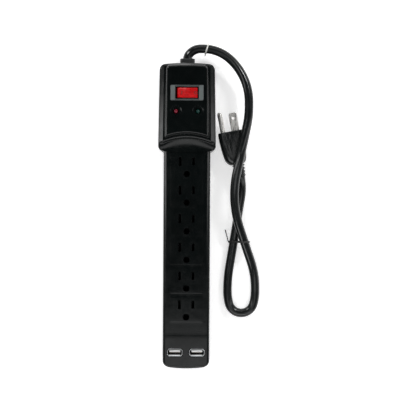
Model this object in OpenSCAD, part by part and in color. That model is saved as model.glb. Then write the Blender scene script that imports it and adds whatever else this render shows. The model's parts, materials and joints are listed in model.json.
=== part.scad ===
// Power strip with six outlets, two USB ports and a lighted rocker switch.
// Millimetres. It lies face up: +Z out of the face, +Y towards the cord.
// The origin is the middle of the housing's underside.

/* [Housing] */
// Overall length of the housing
body_l = 290; // [285:1:300]
// Width of the outlet section
strip_w = 45; // [44:0.5:48]
// Height of the outlet section
strip_h = 28; // [27:0.5:30]
// Length of the switch head
head_l = 84; // [82:1:88]
// Width of the switch head
head_w = 55.4; // [54:0.2:55.6]
// Height of the switch head
head_h = 36; // [35:0.5:38]
// Wall thickness
wall = 2.4; // [2:0.1:3]
// Height of the seam between cover and case
seam_z = 16; // [15:0.5:17]

/* [Outlets] */
// Distance between neighbouring outlets
outlet_pitch = 27.2; // [26:0.1:27.5]
// From the head's foot to the first outlet's slots
first_slot_gap = 9.3; // [9:0.1:11]
// Number of outlets
outlet_count = 6; // [4:1:6]
// Distance between the two blade slots
slot_pitch = 12.7; // [12.7:0.1:12.8]
// From the blade slots down to the ground hole
ground_drop = 11.9; // [11.8:0.1:12]

/* [USB ports] */
// Distance between the two ports
usb_pitch = 21; // [19:0.5:22]
// From the housing's foot to the ports
usb_inset = 15.3; // [15:0.1:17]

/* [Switch] */
// Length of the switch bezel across the head
bezel_l = 31.5; // [31:0.5:34]
// Width of the switch bezel
bezel_w = 14.8; // [14.5:0.1:16]
// From the head's cord end to the switch
switch_inset = 28.8; // [28:0.2:31]
// Tilt of the rocker to each side of its middle
rocker_tilt = 10; // [6:1:10]
// Tilt of the contact lever to each side of its middle
lever_tilt = 7; // [5:1:7]

/* [Cord and plug] */
// Diameter of the cord
cord_d = 8.6; // [8:0.1:8.8]
// Height of the plug's middle above the ground
plug_z = 11.5; // [11.3:0.1:12]
// Width of the plug body
plug_w = 24; // [23:0.5:24]
// Length of the plug body
plug_l = 32; // [30:0.5:33]

/* [Hidden] */

$fn = 48;
eps = 0.01;
// Gap left where one rigid piece sits in another
fit = 0.05;

// Housing
foot_y = -body_l / 2;
top_y = body_l / 2;
head_y = top_y - head_l;
head_mid_y = top_y - head_l / 2;
corner_r = 5;
edge_r = 3;
shoulder_z = head_h - 6.5;
panel_half = 19.6;
foot_half = 22.6;
foot_z = head_h - 3.6;
ramp_l = 11;

// Outlets
slot_y = head_y - first_slot_gap;
neutral_slot_l = 8.2;
line_slot_l = 7;
slot_w = 2.6;
ground_hole_d = 6.1;
function outlet_y(i) = slot_y - i * outlet_pitch;
last_outlet_y = outlet_y(outlet_count - 1);
bus_z = 8;
ground_bus_z = 5.5;
// Block under the face that the plugs' blades pass through
well_side = 24;
well_drop = 5.2;
well_depth = 5;
// The contact leaves stand lower, where only a blade's end reaches
leaf_top_z = strip_h - wall - well_depth - 2.6;

// USB ports
usb_y = foot_y + usb_inset;
usb_w = 14.4;
usb_h = 7;
usb_depth = 14;
usb_board_z = strip_h - usb_depth - 1.6;

// Switch
switch_y = top_y - switch_inset;
bezel_z = head_h + 1.2;
opening_l = 21.9;
opening_w = 11.3;
pivot_z = head_h - 2.8;
rocker_half = 9.4;
rocker_w = 9.4;
trunnion_r = 1.2;
switch_body_l = 26;
switch_body_w = 13;
switch_floor_z = 19;
plunger_l = 10;
lever_z = pivot_z - plunger_l - 0.05;
lever_t = 0.8;

// Indicator lamps
led_y = top_y - 46.2;
led_x = 10.4;
led_r = 1.95;
led_hole_r = 2.7;

// Inside
board_z = 18;
board_t = 1.6;
screw_places = [[17, foot_y + 6.5], [16.4, outlet_y(4) + 8.5], [16.4, outlet_y(1) + 8.5],
                [20, top_y - 9]];
screw_r = 1.5;
boss_r = 3.4;

// Keyholes in the underside
keyhole_y = [last_outlet_y - 24, slot_y + 26];
keyhole_r = 4.25;
keyslot_r = 2.1;
keyslot_l = 8;

// Cord and plug
cord_r = cord_d / 2;
clamp_y = top_y - 20;
cord_z = seam_z;
relief_l = 12.5;
relief_r = 6;
relief_offset = 2;
blade_pitch = 12.7;
blade_x = 5;
pin_x = blade_x - 11.9;
pin_r = 2.4;
pin_root_r = 2.1;
pin_l = 17.6;

// ---------------------------------------------------------------- helpers

// Rounded rectangle centred on the origin
module rounded_rect(w, l, r) {
    square([w - 2 * r, l], center = true);
    square([w, l - 2 * r], center = true);
    for (x = [-1, 1], y = [-1, 1])
        translate([x * (w / 2 - r), y * (l / 2 - r)]) circle(r);
}

// Copies its children on both sides of the middle plane
module both_sides() {
    children();
    mirror([1, 0, 0]) children();
}

// A bar with its section in the XZ plane, from y0 to y1
module along_y(y0, y1) {
    translate([0, y1, 0]) rotate([90, 0, 0]) linear_extrude(y1 - y0) children();
}

function unit(v) = v / norm(v);

// How far a wire runs on past its point i, so that its bend closes
function overrun(points, i, r) =
    i == 0 || i == len(points) - 1 ? 0
    : let (u = unit(points[i] - points[i - 1]), v = unit(points[i + 1] - points[i]))
      r * tan(acos(u * v) / 2);

// A wire through a list of points, as twelve-sided bars
module wire(points, r) {
    for (i = [0 : len(points) - 2]) {
        d = points[i + 1] - points[i];
        before = overrun(points, i, r);
        after = overrun(points, i + 1, r);
        translate(points[i] - before * unit(d))
            rotate([0, acos(d.z / norm(d)), atan2(d.y, d.x)])
                cylinder(h = norm(d) + before + after, r = r, $fn = 12);
    }
}

// ---------------------------------------------------------------- housing

// Section of the outlet strip, smaller all round by inset
module strip_section(inset) {
    w = strip_w - 2 * inset;
    r = edge_r - inset / 2;
    translate([-w / 2, inset]) square([w, strip_h - 2 * inset - r]);
    translate([r - w / 2, inset]) square([w - 2 * r, strip_h - 2 * inset]);
    for (x = [-1, 1]) translate([x * (w / 2 - r), strip_h - inset - r]) circle(r);
}

// Section of the head: walls, sloping flanks and the raised panel
module head_section(inset) {
    half = head_w / 2 - inset;
    polygon([[-half, inset], [half, inset], [half, shoulder_z - inset],
             [foot_half - inset, foot_z - inset], [panel_half - inset, head_h - inset],
             [inset - panel_half, head_h - inset], [inset - foot_half, foot_z - inset],
             [-half, shoulder_z - inset]]);
}

// The outlet strip as a solid, smaller all round by inset
module strip_block(inset) {
    intersection() {
        along_y(foot_y + inset, head_y + 10) strip_section(inset);
        translate([0, (foot_y + head_y + 30) / 2])
            linear_extrude(strip_h) rounded_rect(strip_w - 2 * inset,
                head_y + 30 - foot_y - 2 * inset, corner_r - inset / 2);
    }
}

// The head as a solid, with a ramp down to the strip
module head_block(inset) {
    intersection() {
        along_y(head_y + inset, top_y - inset) head_section(inset);
        translate([0, head_mid_y]) linear_extrude(head_h)
            rounded_rect(head_w - 2 * inset, head_l - 2 * inset, corner_r - inset / 2);
        rotate([90, 0, 90]) translate([0, 0, -head_w / 2]) linear_extrude(head_w)
            polygon([[head_y + inset, 0], [head_y + inset, strip_h + 1.2 - inset],
                     [head_y + ramp_l + inset, head_h - inset],
                     [top_y - 5, head_h - inset], [top_y - inset, head_h - 3 - inset],
                     [top_y - inset, 0]]);
    }
}

module housing_shell() {
    difference() {
        union() {
            strip_block(0);
            head_block(0);
        }
        strip_block(wall);
        head_block(wall);
    }
}

// Every place of a case screw, on both sides
module at_screws() {
    both_sides() for (p = screw_places) translate([p.x, p.y, 0]) children();
}

// The square hole in the end wall that holds the boot's neck
module boot_hole() {
    translate([-5.5 - fit, top_y - 6, cord_z - 5.5 - fit])
        cube([11 + 2 * fit, 12, 11 + 2 * fit]);
}

module keyhole() {
    translate([0, 0, -1]) {
        cylinder(h = wall + 2, r = keyhole_r);
        translate([-keyslot_r, 0, 0]) cube([2 * keyslot_r, keyslot_l, wall + 2]);
        translate([0, keyslot_l, 0]) cylinder(h = wall + 2, r = keyslot_r);
    }
}

module bottom_case() {
    color("#1c1d1f") difference() {
        union() {
            intersection() {
                housing_shell();
                translate([-50, foot_y - 1, 0]) cube([100, body_l + 2, seam_z - fit / 2]);
            }
            intersection() {
                union() {
                    at_screws() cylinder(h = seam_z - fit / 2, r = boss_r);
                    for (i = [0 : outlet_count - 1])
                        translate([-strip_w / 2 + 1, outlet_y(i) - 0.8, 1])
                            cube([strip_w - 2, 1.6, bus_z - 1]);
                }
                union() {
                    strip_block(0);
                    head_block(0);
                }
            }
            for (x = [-17, 17], y = [led_y - 28, led_y + 4])
                translate([x, y, 1]) cylinder(h = board_z - 1, r = 2);
            for (x = [-14, 14])
                translate([x, usb_y + 8, 1]) cylinder(h = usb_board_z - 1, r = 2);
            translate([-14, clamp_y - 1, 1]) cube([28, 7, cord_z - cord_r - 1.2]);
        }
        at_screws() {
            translate([0, 0, -1]) cylinder(h = 9, r = 2.9);
            cylinder(h = seam_z + 1, r = 1.7);
        }
        for (i = [0 : outlet_count - 1])
            translate([-4, outlet_y(i) - 2, ground_bus_z]) cube([8, 4, 4]);
        // The ground lead passes lower through the first rib
        translate([-4, outlet_y(0) - 2, ground_bus_z - 2]) cube([8, 4, 4]);
        for (y = keyhole_y) translate([0, y, 0]) keyhole();
        boot_hole();
    }
}

// One outlet's three openings, cut down through the face and the block under it
module outlet_cut() {
    h = wall + well_depth + 2;
    translate([0, 0, strip_h + 1 - h]) {
        translate([-slot_pitch / 2, 0, h / 2]) cube([slot_w, neutral_slot_l, h], center = true);
        translate([slot_pitch / 2, 0, h / 2]) cube([slot_w, line_slot_l, h], center = true);
        translate([0, -ground_drop, 0]) intersection() {
            cylinder(h = h, d = ground_hole_d);
            translate([-4, -2.75, 0]) cube([8, 8, h]);
        }
    }
}

// Outline of a USB port with its corners cut off
module usb_outline(grow) {
    w = usb_w / 2 + grow;
    h = usb_h / 2 + grow;
    c = 1.6;
    polygon([[-w + c, -h], [w - c, -h], [w, -h + c], [w, h - c], [w - c, h], [-w + c, h],
             [-w, h - c], [-w, -h + c]]);
}

module top_cover() {
    color("#1c1d1f") difference() {
        union() {
            intersection() {
                housing_shell();
                translate([-50, foot_y - 1, seam_z + fit / 2]) cube([100, body_l + 2, 40]);
            }
            intersection() {
                at_screws() translate([0, 0, seam_z + fit / 2]) cylinder(h = 20, r = boss_r);
                union() {
                    strip_block(0.2);
                    head_block(0.2);
                }
            }
            for (i = [0 : outlet_count - 1])
                translate([0, outlet_y(i) - well_drop, strip_h - wall - well_depth])
                    linear_extrude(well_depth + 1) square(well_side, center = true);
        }
        at_screws() cylinder(h = seam_z + 8.5, r = 1.55);
        for (i = [0 : outlet_count - 1]) translate([0, outlet_y(i), 0]) outlet_cut();
        for (x = [-1, 1]) translate([x * usb_pitch / 2, usb_y, strip_h - wall - 1])
            linear_extrude(wall + 2) usb_outline(fit);
        translate([0, switch_y, shoulder_z]) linear_extrude(12)
            square([switch_body_l + 2 * fit, switch_body_w + 2 * fit], center = true);
        for (x = [-led_x, led_x])
            translate([x, led_y, shoulder_z]) cylinder(h = 12, r = led_hole_r);
        boot_hole();
    }
}

module case_screws() {
    color("silver") at_screws() difference() {
        union() {
            translate([0, 0, 5.8]) cylinder(h = 2.2 - fit, r = 2.7);
            translate([0, 0, 7]) cylinder(h = seam_z + 1, r = screw_r);
        }
        translate([-0.4, -2, 5]) cube([0.8, 4, 1.8]);
        translate([-2, -0.4, 5]) cube([4, 0.8, 1.8]);
    }
}

// ---------------------------------------------------------------- cord entry

module cord_boot() {
    color("#151617") translate([0, top_y, cord_z]) difference() {
        union() {
            along_y(fit, 5) rounded_rect(14, 14, 2);
            along_y(-4, 1) square([11, 11], center = true);
            along_y(-wall - 2.4, -wall - fit) rounded_rect(14, 14, 2);
        }
        rotate([90, 0, 0]) cylinder(h = 20, r = cord_r + fit, center = true);
        translate([0, 5 + eps, 0]) rotate([90, 0, 0])
            cylinder(h = 2.5, r1 = cord_r + 1.4, r2 = cord_r + fit);
    }
}

module cord_root() {
    color("#101112") along_y(clamp_y - 1, top_y + 5 - cord_r - 0.02)
        translate([0, cord_z]) circle(cord_r);
}

// A saddle screwed down over the cord inside the housing
module cord_clamp() {
    color("#e8e6df") difference() {
        union() {
            along_y(clamp_y, clamp_y + 5) translate([0, cord_z]) circle(cord_r + 1.4);
            translate([-12, clamp_y, cord_z - cord_r - 0.15]) cube([24, 5, 2.2]);
        }
        along_y(clamp_y - 1, clamp_y + 6) translate([0, cord_z]) circle(cord_r + fit);
        translate([-15, clamp_y - 1, 0]) cube([30, 7, cord_z - cord_r - 0.15]);
    }
}

// ---------------------------------------------------------------- switch

module at_switch(z) {
    translate([0, switch_y, z]) children();
}

module switch_frame() {
    color("#5f6767") at_switch(0) difference() {
        union() {
            translate([0, 0, head_h + fit]) linear_extrude(bezel_z - head_h - fit)
                rounded_rect(bezel_l, bezel_w, 1.5);
            translate([0, 0, switch_floor_z]) linear_extrude(bezel_z - switch_floor_z)
                square([switch_body_l, switch_body_w], center = true);
        }
        translate([0, 0, switch_floor_z + 1.6]) linear_extrude(30)
            square([opening_l, opening_w], center = true);
        translate([0, 0, pivot_z]) rotate([90, 0, 0])
            cylinder(h = 30, r = trunnion_r + fit, center = true);
        for (x = [-8, 0, 8]) translate([x - 0.5, -2.5, switch_floor_z - 1])
            cube([1, 5, 4]);
    }
}

// Three tabs through the switch floor: line in, common and neutral
module switch_terminals() {
    color("#c8a04a") at_switch(0) {
        for (x = [-8, 0, 8]) translate([x - 0.4, -2.4, switch_floor_z - 9])
            cube([0.8, 4.8, 10.7]);
        translate([-0.6, -1.5, switch_floor_z + 1.65])
            cube([1.2, 3, lever_z - lever_t - switch_floor_z - 2.3]);
        translate([0, 0, lever_z - lever_t - 0.65]) rotate([90, 0, 0])
            cylinder(h = 3, r = 0.6, center = true);
        translate([8, 0, switch_floor_z + 1.65]) cylinder(h = 0.5, r = 1.2);
    }
}

// The rocker's side profile about its pivot: two faces in a shallow V
module rocker_profile(inset) {
    rise = rocker_half * tan(rocker_tilt);
    polygon([[-rocker_half + inset, -2], [rocker_half - inset, -2],
             [rocker_half - inset, 3.2 + rise - inset], [0, 3.2 - inset],
             [-rocker_half + inset, 3.2 + rise - inset]]);
}

// Places a child of the rocker at rest, switched off
module at_rocker() {
    at_switch(pivot_z) rotate([0, rocker_tilt, 0]) children();
}

module rocker() {
    color("#c62828", 0.9) at_rocker() difference() {
        union() {
            along_y(-rocker_w / 2, rocker_w / 2) rocker_profile(0);
            along_y(-opening_w / 2 - 0.8, opening_w / 2 + 0.8) circle(trunnion_r);
            translate([0, 0, -4.6]) cylinder(h = 4, r = 2.4);
        }
        difference() {
            along_y(1.4 - rocker_w / 2, rocker_w / 2 - 1.4) translate([0, -1.2])
                rocker_profile(1.4);
            translate([0, 0, -4]) cylinder(h = 10, r = 2.4);
            along_y(-rocker_w, rocker_w) circle(trunnion_r);
        }
        translate([0, 0, -5]) cylinder(h = 6.2, r = 1.6);
    }
}

module neon_lamp() {
    color("#ffb27a") at_rocker() translate([-5.6, 0, -0.2]) rotate([90, 0, 0])
        cylinder(h = 5, r = 1.3, center = true);
}

module plunger() {
    color("#e8e6df") at_rocker() {
        translate([0, 0, 1.2 - plunger_l]) sphere(1.2);
        translate([0, 0, 1.2 - plunger_l]) cylinder(h = 3.4, r = 1.2);
        translate([0, 0, 4.6 - plunger_l]) cylinder(h = 2, r = 1.5);
    }
}

// A coil spring between the rocker's socket and the plunger
spring_turns = 5;
spring_bottom = 6.7 - plunger_l;
spring_top = 1;
spring_r = 1.1;
spring_wire = 0.2;
spring_steps = 16;
spring_count = spring_turns * spring_steps;
function spring_point(i, j) =
    let (a = 360 * i / spring_steps,
         b = 90 * j,
         h = spring_bottom + spring_wire
             + (spring_top - spring_bottom - 2 * spring_wire) * i / spring_count)
    [(spring_r + spring_wire * cos(b)) * cos(a), (spring_r + spring_wire * cos(b)) * sin(a),
     h + spring_wire * sin(b)];

// A tube skin over rows of ring points, closed at both ends
module tube_skin(rows, ring, count) {
    faces = [for (i = [0 : rows - 2], j = [0 : ring - 1])
                 [i * ring + j, i * ring + (j + 1) % ring,
                  (i + 1) * ring + (j + 1) % ring, (i + 1) * ring + j]];
    split = [for (f = faces) each [[f[0], f[1], f[2]], [f[0], f[2], f[3]]]];
    first = [for (j = [ring - 1 : -1 : 0]) j];
    last = [for (j = [0 : ring - 1]) (rows - 1) * ring + j];
    polyhedron(points = count, faces = concat(split, [first, last]), convexity = 10);
}

module plunger_spring() {
    color("silver") at_rocker() tube_skin(spring_count + 1, 4,
        [for (i = [0 : spring_count], j = [0 : 3]) spring_point(i, j)]);
}

module contact_lever() {
    color("#c8a04a") at_switch(lever_z) rotate([0, -lever_tilt, 0])
        along_y(-2, 2) difference() {
            translate([-9.5, -lever_t]) square([19, lever_t]);
            for (x = [-3, 3]) translate([x, -lever_t]) circle(0.3);
        }
}

// ---------------------------------------------------------------- head boards

module surge_board() {
    color("#2f7d46") difference() {
        translate([-21, led_y - 33, board_z]) cube([42, 42, board_t]);
        for (x = [-led_x, led_x], leg = [-0.65, 0.65])
            translate([x + leg, led_y, board_z - 1]) cylinder(h = 4, r = 0.4);
    }
}

// Three surge-absorbing discs standing on the board
module varistors() {
    color("#2a5fb0") for (i = [0 : 2])
        translate([0, led_y - 8 - 5.2 * i, board_z + board_t + 5.3])
            rotate([90, 0, 0]) cylinder(h = 3.6, r = 5.2);
}

module thermal_fuse() {
    color("#d8d2c4") translate([-15, led_y - 16, board_z + board_t + 2])
        rotate([90, 0, 0]) cylinder(h = 10, r = 2, center = true);
}

module resistors() {
    color("#c9a26a") for (y = [0, 5])
        translate([13, led_y - 14 - y, board_z + board_t + 1.2])
            rotate([0, 90, 0]) cylinder(h = 7, r = 1.2, center = true);
}

// One indicator lamp: domed lens, flange and two legs
module led(x) {
    translate([x, led_y, 0]) {
        translate([0, 0, head_h - 0.9]) sphere(led_r);
        translate([0, 0, head_h - 6]) cylinder(h = 5.1, r = led_r);
        translate([0, 0, head_h - 6.8]) cylinder(h = 0.9, r = led_r + 0.4);
        for (leg = [-0.65, 0.65]) translate([leg, 0, board_z - 0.6])
            cylinder(h = head_h - 6.8 - board_z + 0.7, r = 0.3);
    }
}

module led_red() {
    color("#f07a86") led(-led_x);
}

module led_green() {
    color("#1f6b58") led(led_x);
}

// ---------------------------------------------------------------- bus bars

// A flat bar under the outlets with a pair of spring leaves at each one
module bus_bar(x, drop, base_z, leaf_top, gap) {
    bottom = last_outlet_y - drop - 5;
    top = slot_y - drop + 5;
    translate([x - 2.5, bottom, base_z]) cube([5, top - bottom, 0.8]);
    for (i = [0 : outlet_count - 1], s = [-1, 1])
        translate([x + s * (gap / 2 + 0.35) - 0.35, outlet_y(i) - drop - 3, base_z])
            cube([0.7, 6, leaf_top - base_z]);
}

module line_bus() {
    color("#c8a04a") bus_bar(slot_pitch / 2, 0, bus_z, leaf_top_z, 1.7);
}

module neutral_bus() {
    color("#c8a04a") bus_bar(-slot_pitch / 2, 0, bus_z, leaf_top_z, 1.7);
}

module ground_bus() {
    color("#c8a04a") bus_bar(0, ground_drop, ground_bus_z, leaf_top_z, 4.9);
}

// ---------------------------------------------------------------- leads

lead_r = 1.2;
// Where the three cores leave the cut end of the jacket
core_y = clamp_y - 1 - fit;
core_x = 2.2;
bus_end_y = slot_y + 5 + fit;
// Distance of the long leads from the middle plane
lead_x = 13;

module line_lead() {
    color("#202022") wire([[core_x, core_y, cord_z], [core_x, core_y - 2.5, cord_z],
        [8, switch_y + 5.3, 13], [8, switch_y + 2.4 + fit, 13]], lead_r);
}

module neutral_lead() {
    color("#ececec") wire([[-core_x, core_y, cord_z], [-core_x, core_y - 2.5, cord_z],
        [-lead_x, switch_y + 3, 10], [-lead_x, head_y + 6, 10],
        [-slot_pitch / 2, bus_end_y + 3.5, bus_z + 0.4],
        [-slot_pitch / 2, bus_end_y, bus_z + 0.4]], lead_r);
}

module ground_lead() {
    color("#2f8f4a") wire([[0, core_y, cord_z - 2.6], [0, core_y - 2.5, cord_z - 2.6],
        [-4, switch_y + 2.5, 10], [-9, switch_y - 12, 6], [-9, head_y + 6, 6],
        [0, bus_end_y - ground_drop + 3.5, ground_bus_z + 0.4],
        [0, bus_end_y - ground_drop, ground_bus_z + 0.4]], lead_r);
}

module switched_lead() {
    color("#a03030") wire([[0, switch_y - 2.4 - fit, 13], [0, switch_y - 5, 13],
        [lead_x, switch_y - 10, 10], [lead_x, head_y + 6, 10],
        [slot_pitch / 2, bus_end_y + 3.5, bus_z + 0.4],
        [slot_pitch / 2, bus_end_y, bus_z + 0.4]], lead_r);
}

// ---------------------------------------------------------------- USB charger

module usb_board() {
    color("#2f7d46") translate([-19, usb_y - 4, usb_board_z])
        cube([38, 31, board_t]);
}

module at_usb() {
    for (x = [-1, 1]) translate([x * usb_pitch / 2, usb_y, 0]) children();
}

module usb_shells() {
    color("silver") at_usb() difference() {
        translate([0, 0, usb_board_z + board_t])
            linear_extrude(strip_h - 0.3 - usb_board_z - board_t) usb_outline(0);
        translate([0, 0, usb_board_z + board_t + 0.5]) linear_extrude(20)
            usb_outline(-0.5);
    }
}

module usb_tongues() {
    color("#f2f2ee") at_usb()
        translate([-5.2, 0.2, usb_board_z + board_t + 0.5]) cube([10.4, 2.2, 12]);
}

module usb_contacts() {
    color("#d9b45a") at_usb() for (i = [-1.5 : 1 : 1.5])
        translate([i * 2.3 - 0.5, -0.15, usb_board_z + board_t + 2]) cube([1, 0.35 - eps, 9]);
}

module usb_transformer() {
    color("#d8b14a") translate([-16, usb_y + 11, usb_board_z + board_t]) {
        cube([14, 13, 2]);
        translate([1.5, 1, 2]) cube([11, 11, 7]);
        translate([0, 0, 9]) cube([14, 13, 1.5]);
    }
}

module usb_capacitor() {
    color("#24407a") translate([9, usb_y + 24.5, usb_board_z + board_t + 4])
        rotate([90, 0, 0]) cylinder(h = 12, r = 4);
}

// ---------------------------------------------------------------- cord path

// Start of the bent cord at the mouth of the boot
cord_start = [0, top_y + 5];
// The bent cord as [length, 0] for a straight and [radius, turn] for an arc,
// a positive turn being to the left
cord_steps = [[7.5, -40], [14, -50], [2.5, 0], [38.4, -45], [57, -45], [4, 0], [90, -12],
              [44, 0], [103, 31], [32.5, 0], [80, -19], [3, 0], [50, -14], [12.15, -152],
              [50, -14], [150, -9], [66.46, 0], [60, 19.7]];
// Height of the cord's centre at distances along it
cord_heights = [[0, cord_z], [70, 20], [138, 27.4], [170, 24.8], [205, 18.2], [231, 12.2],
                [262, 6.2], [288, cord_r + 0.3], [341, cord_r + 0.3], [386, 6.2],
                [410, 8.6], [446, plug_z]];
cord_sides = 16;
cord_pitch = 4;

function step_length(s) = s[1] == 0 ? s[0] : s[0] * abs(s[1]) * PI / 180;
// Place and heading after going the part f of one step from p
function step_end(p, h, s, f) =
    s[1] == 0 ? [p + s[0] * f * [cos(h), sin(h)], h]
    : let (side = s[1] > 0 ? 1 : -1,
           c = p + side * s[0] * [-sin(h), cos(h)],
           h1 = h + s[1] * f)
      [c - side * s[0] * [-sin(h1), cos(h1)], h1];
function state_at(k) = k == 0 ? [cord_start, 90]
    : let (b = state_at(k - 1)) step_end(b[0], b[1], cord_steps[k - 1], 1);
function length_at(k) = k == 0 ? 0 : length_at(k - 1) + step_length(cord_steps[k - 1]);
// Slope of the cord at its height number k
function slope_at(k) =
    k == 0 || k == len(cord_heights) - 1 ? 0
    : (cord_heights[k + 1][1] - cord_heights[k - 1][1])
      / (cord_heights[k + 1][0] - cord_heights[k - 1][0]);
// Smooth height at the distance d along the cord
function height_at(d, k = 0) =
    k >= len(cord_heights) - 2 || d <= cord_heights[k + 1][0]
    ? let (a = cord_heights[k], b = cord_heights[k + 1], l = b[0] - a[0],
           t = min(1, max(0, (d - a[0]) / l)), s = 1 - t)
      a[1] * (1 + 2 * t) * s * s + b[1] * t * t * (3 - 2 * t)
      + l * t * s * (slope_at(k) * s - slope_at(k + 1) * t)
    : height_at(d, k + 1);
// Stations along the cord as [x, y, z, heading]
cord_stations = [for (k = [0 : len(cord_steps) - 1])
    let (b = state_at(k), s = cord_steps[k], l = step_length(s), from = length_at(k),
         n = ceil(max(l / cord_pitch, abs(s[1]) / 9)))
    for (i = [(k == 0 ? 0 : 1) : n])
        let (e = step_end(b[0], b[1], s, i / n))
        [e[0].x, e[0].y, height_at(from + l * i / n), e[1]]];
cord_end = state_at(len(cord_steps));

// One ring of the cord round a station, shrunk to r and shifted back by b
function ring_points(c, r, b) = [for (j = [0 : cord_sides - 1])
    let (a = 360 * j / cord_sides)
    [c[0] - b * cos(c[3]) + r * cos(a) * sin(c[3]),
     c[1] - b * sin(c[3]) - r * cos(a) * cos(c[3]),
     c[2] + r * sin(a)]];

module cord_jacket() {
    cap = [for (a = [80 : -20 : 20])
        ring_points(cord_stations[0], cord_r * cos(a), cord_r * sin(a))];
    tail = ring_points(cord_stations[len(cord_stations) - 1], cord_r, -3);
    rings = concat(cap, [for (c = cord_stations) ring_points(c, cord_r, 0)], [tail]);
    color("#101112") tube_skin(len(rings), cord_sides, [for (r = rings) each r]);
}

// ---------------------------------------------------------------- plug

// Frame of the plug: origin in the middle of its face, +Y out along the blades
module at_plug() {
    translate([cord_end[0].x, cord_end[0].y, plug_z]) rotate([0, 0, cord_end[1] - 90])
        translate([-relief_offset, plug_l + relief_l, 0]) children();
}

module plug_body() {
    color("#161718") at_plug() difference() {
        union() {
            hull() {
                along_y(-11, 0) rounded_rect(plug_w, 2 * plug_z - 1, 4, $fn = 32);
                translate([relief_offset / 2, 0, 0])
                    along_y(-plug_l, -plug_l + 1.5) rounded_rect(15, 13, 5, $fn = 32);
                translate([0.4, 0, 0])
                    along_y(-plug_l + 5, -20) rounded_rect(plug_w - 2, 18, 6, $fn = 32);
            }
            translate([relief_offset, -plug_l + 2, 0]) rotate([90, 0, 0]) {
                cylinder(h = relief_l + 2, r = cord_r + 0.9);
                for (i = [0 : 3]) translate([0, 0, 3 + i * 3.1])
                    cylinder(h = 1.6, r = relief_r - 0.25 * i);
            }
        }
        translate([relief_offset, -plug_l - relief_l + 3.2, 0]) rotate([90, 0, 0])
            cylinder(h = 20, r = cord_r + fit);
        for (z = [-1, 1]) translate([blade_x - 4, -8, z * blade_pitch / 2 - 0.75 - fit])
            cube([8, 9, 1.5 + 2 * fit]);
        translate([pin_x, -8, 0]) rotate([-90, 0, 0]) cylinder(h = 9, r = pin_root_r + fit);
    }
}

// A flat blade with rounded corners and a hole near its tip
module blade(w, z) {
    color("#c9c9c6") at_plug() translate([blade_x, 0, z]) difference() {
        translate([0, 0, -0.75]) linear_extrude(1.5) {
            translate([-w / 2, -8 + fit]) square([w, 22.8]);
            translate([0, 14.8]) intersection() {
                rounded_rect(w, 5, 2.2);
                translate([-w, -1]) square([2 * w, 5]);
            }
        }
        translate([0, 12.4, -2]) cylinder(h = 4, r = 1.6);
    }
}

module neutral_blade() {
    blade(7.8, blade_pitch / 2);
}

module line_blade() {
    blade(6.35, -blade_pitch / 2);
}

module ground_pin() {
    color("#d6d6d2") at_plug() translate([pin_x, 0, 0]) rotate([-90, 0, 0]) {
        translate([0, 0, -8 + fit]) cylinder(h = 8, r = pin_root_r);
        translate([0, 0, fit]) cylinder(h = pin_l, r = pin_r);
        translate([0, 0, pin_l + fit]) sphere(pin_r);
    }
}

// ---------------------------------------------------------------- ties

tie_y = -24.8;
tie_gap = 0.7;
tie_t = 0.5;
// Where straight step k of the cord crosses the twist tie, as [x, z]
function crossing(k) =
    let (b = state_at(k), go = (tie_y - b[0].y) / sin(b[1]))
    [b[0].x + go * cos(b[1]), height_at(length_at(k) + go)];
tie_right = crossing(9);
tie_left = crossing(16);

module tie_outline(r) {
    hull() for (p = [tie_left, tie_right]) translate(p) circle(r, $fn = 32);
}

// A wire wrapped round both strands of the cord, with a loose tail
module twist_tie() {
    color("#1a1b1c") {
        along_y(tie_y - 0.95, tie_y + 0.95) difference() {
            tie_outline(cord_r + tie_gap + tie_t);
            tie_outline(cord_r + tie_gap);
        }
        wire([[tie_left.x - cord_r - tie_gap - 0.3, tie_y, tie_left.y],
              [tie_left.x - 8.2, tie_y + 12, tie_left.y + 4]], 0.6);
    }
}

// The strap sits a little past the crest of the cord's first bend, leaning across it
tie_place = step_end(state_at(3)[0], state_at(3)[1], cord_steps[3], 0.12);
tie_d = length_at(3) + 0.12 * step_length(cord_steps[3]);
tie_lean = 13;
strap_r = cord_r + 0.45;
strap_t = 0.65;

// A strap with its head under the cord and the cut end sticking out
module cable_tie() {
    color("#ececea") translate([tie_place[0].x, tie_place[0].y, height_at(tie_d)])
        rotate([0, 0, tie_place[1] - 90 - tie_lean]) {
            along_y(-0.7, 0.7) difference() {
                circle(strap_r + strap_t);
                circle(strap_r);
            }
            translate([-1.6, -1.4, -strap_r - 2.8]) cube([3.2, 2.8, 2.7]);
            translate([0, -0.6, -strap_r - 1.9]) cube([cord_r + 2.4, 1.2, 0.8]);
        }
}

bottom_case();
top_cover();
case_screws();
cord_boot();
cord_root();
cord_clamp();
switch_frame();
switch_terminals();
rocker();
neon_lamp();
plunger();
plunger_spring();
contact_lever();
surge_board();
varistors();
thermal_fuse();
resistors();
led_red();
led_green();
line_bus();
neutral_bus();
ground_bus();
line_lead();
neutral_lead();
ground_lead();
switched_lead();
usb_board();
usb_shells();
usb_tongues();
usb_contacts();
usb_transformer();
usb_capacitor();
cord_jacket();
plug_body();
line_blade();
neutral_blade();
ground_pin();
twist_tie();
cable_tie();
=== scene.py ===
"""Power strip lying face up, with its cord and plug folded beside it.

Lengths are in millimetres until a mesh is made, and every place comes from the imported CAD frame.
"""
import json
import math

import bmesh
import bpy
from mathutils import Matrix, Vector


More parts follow.
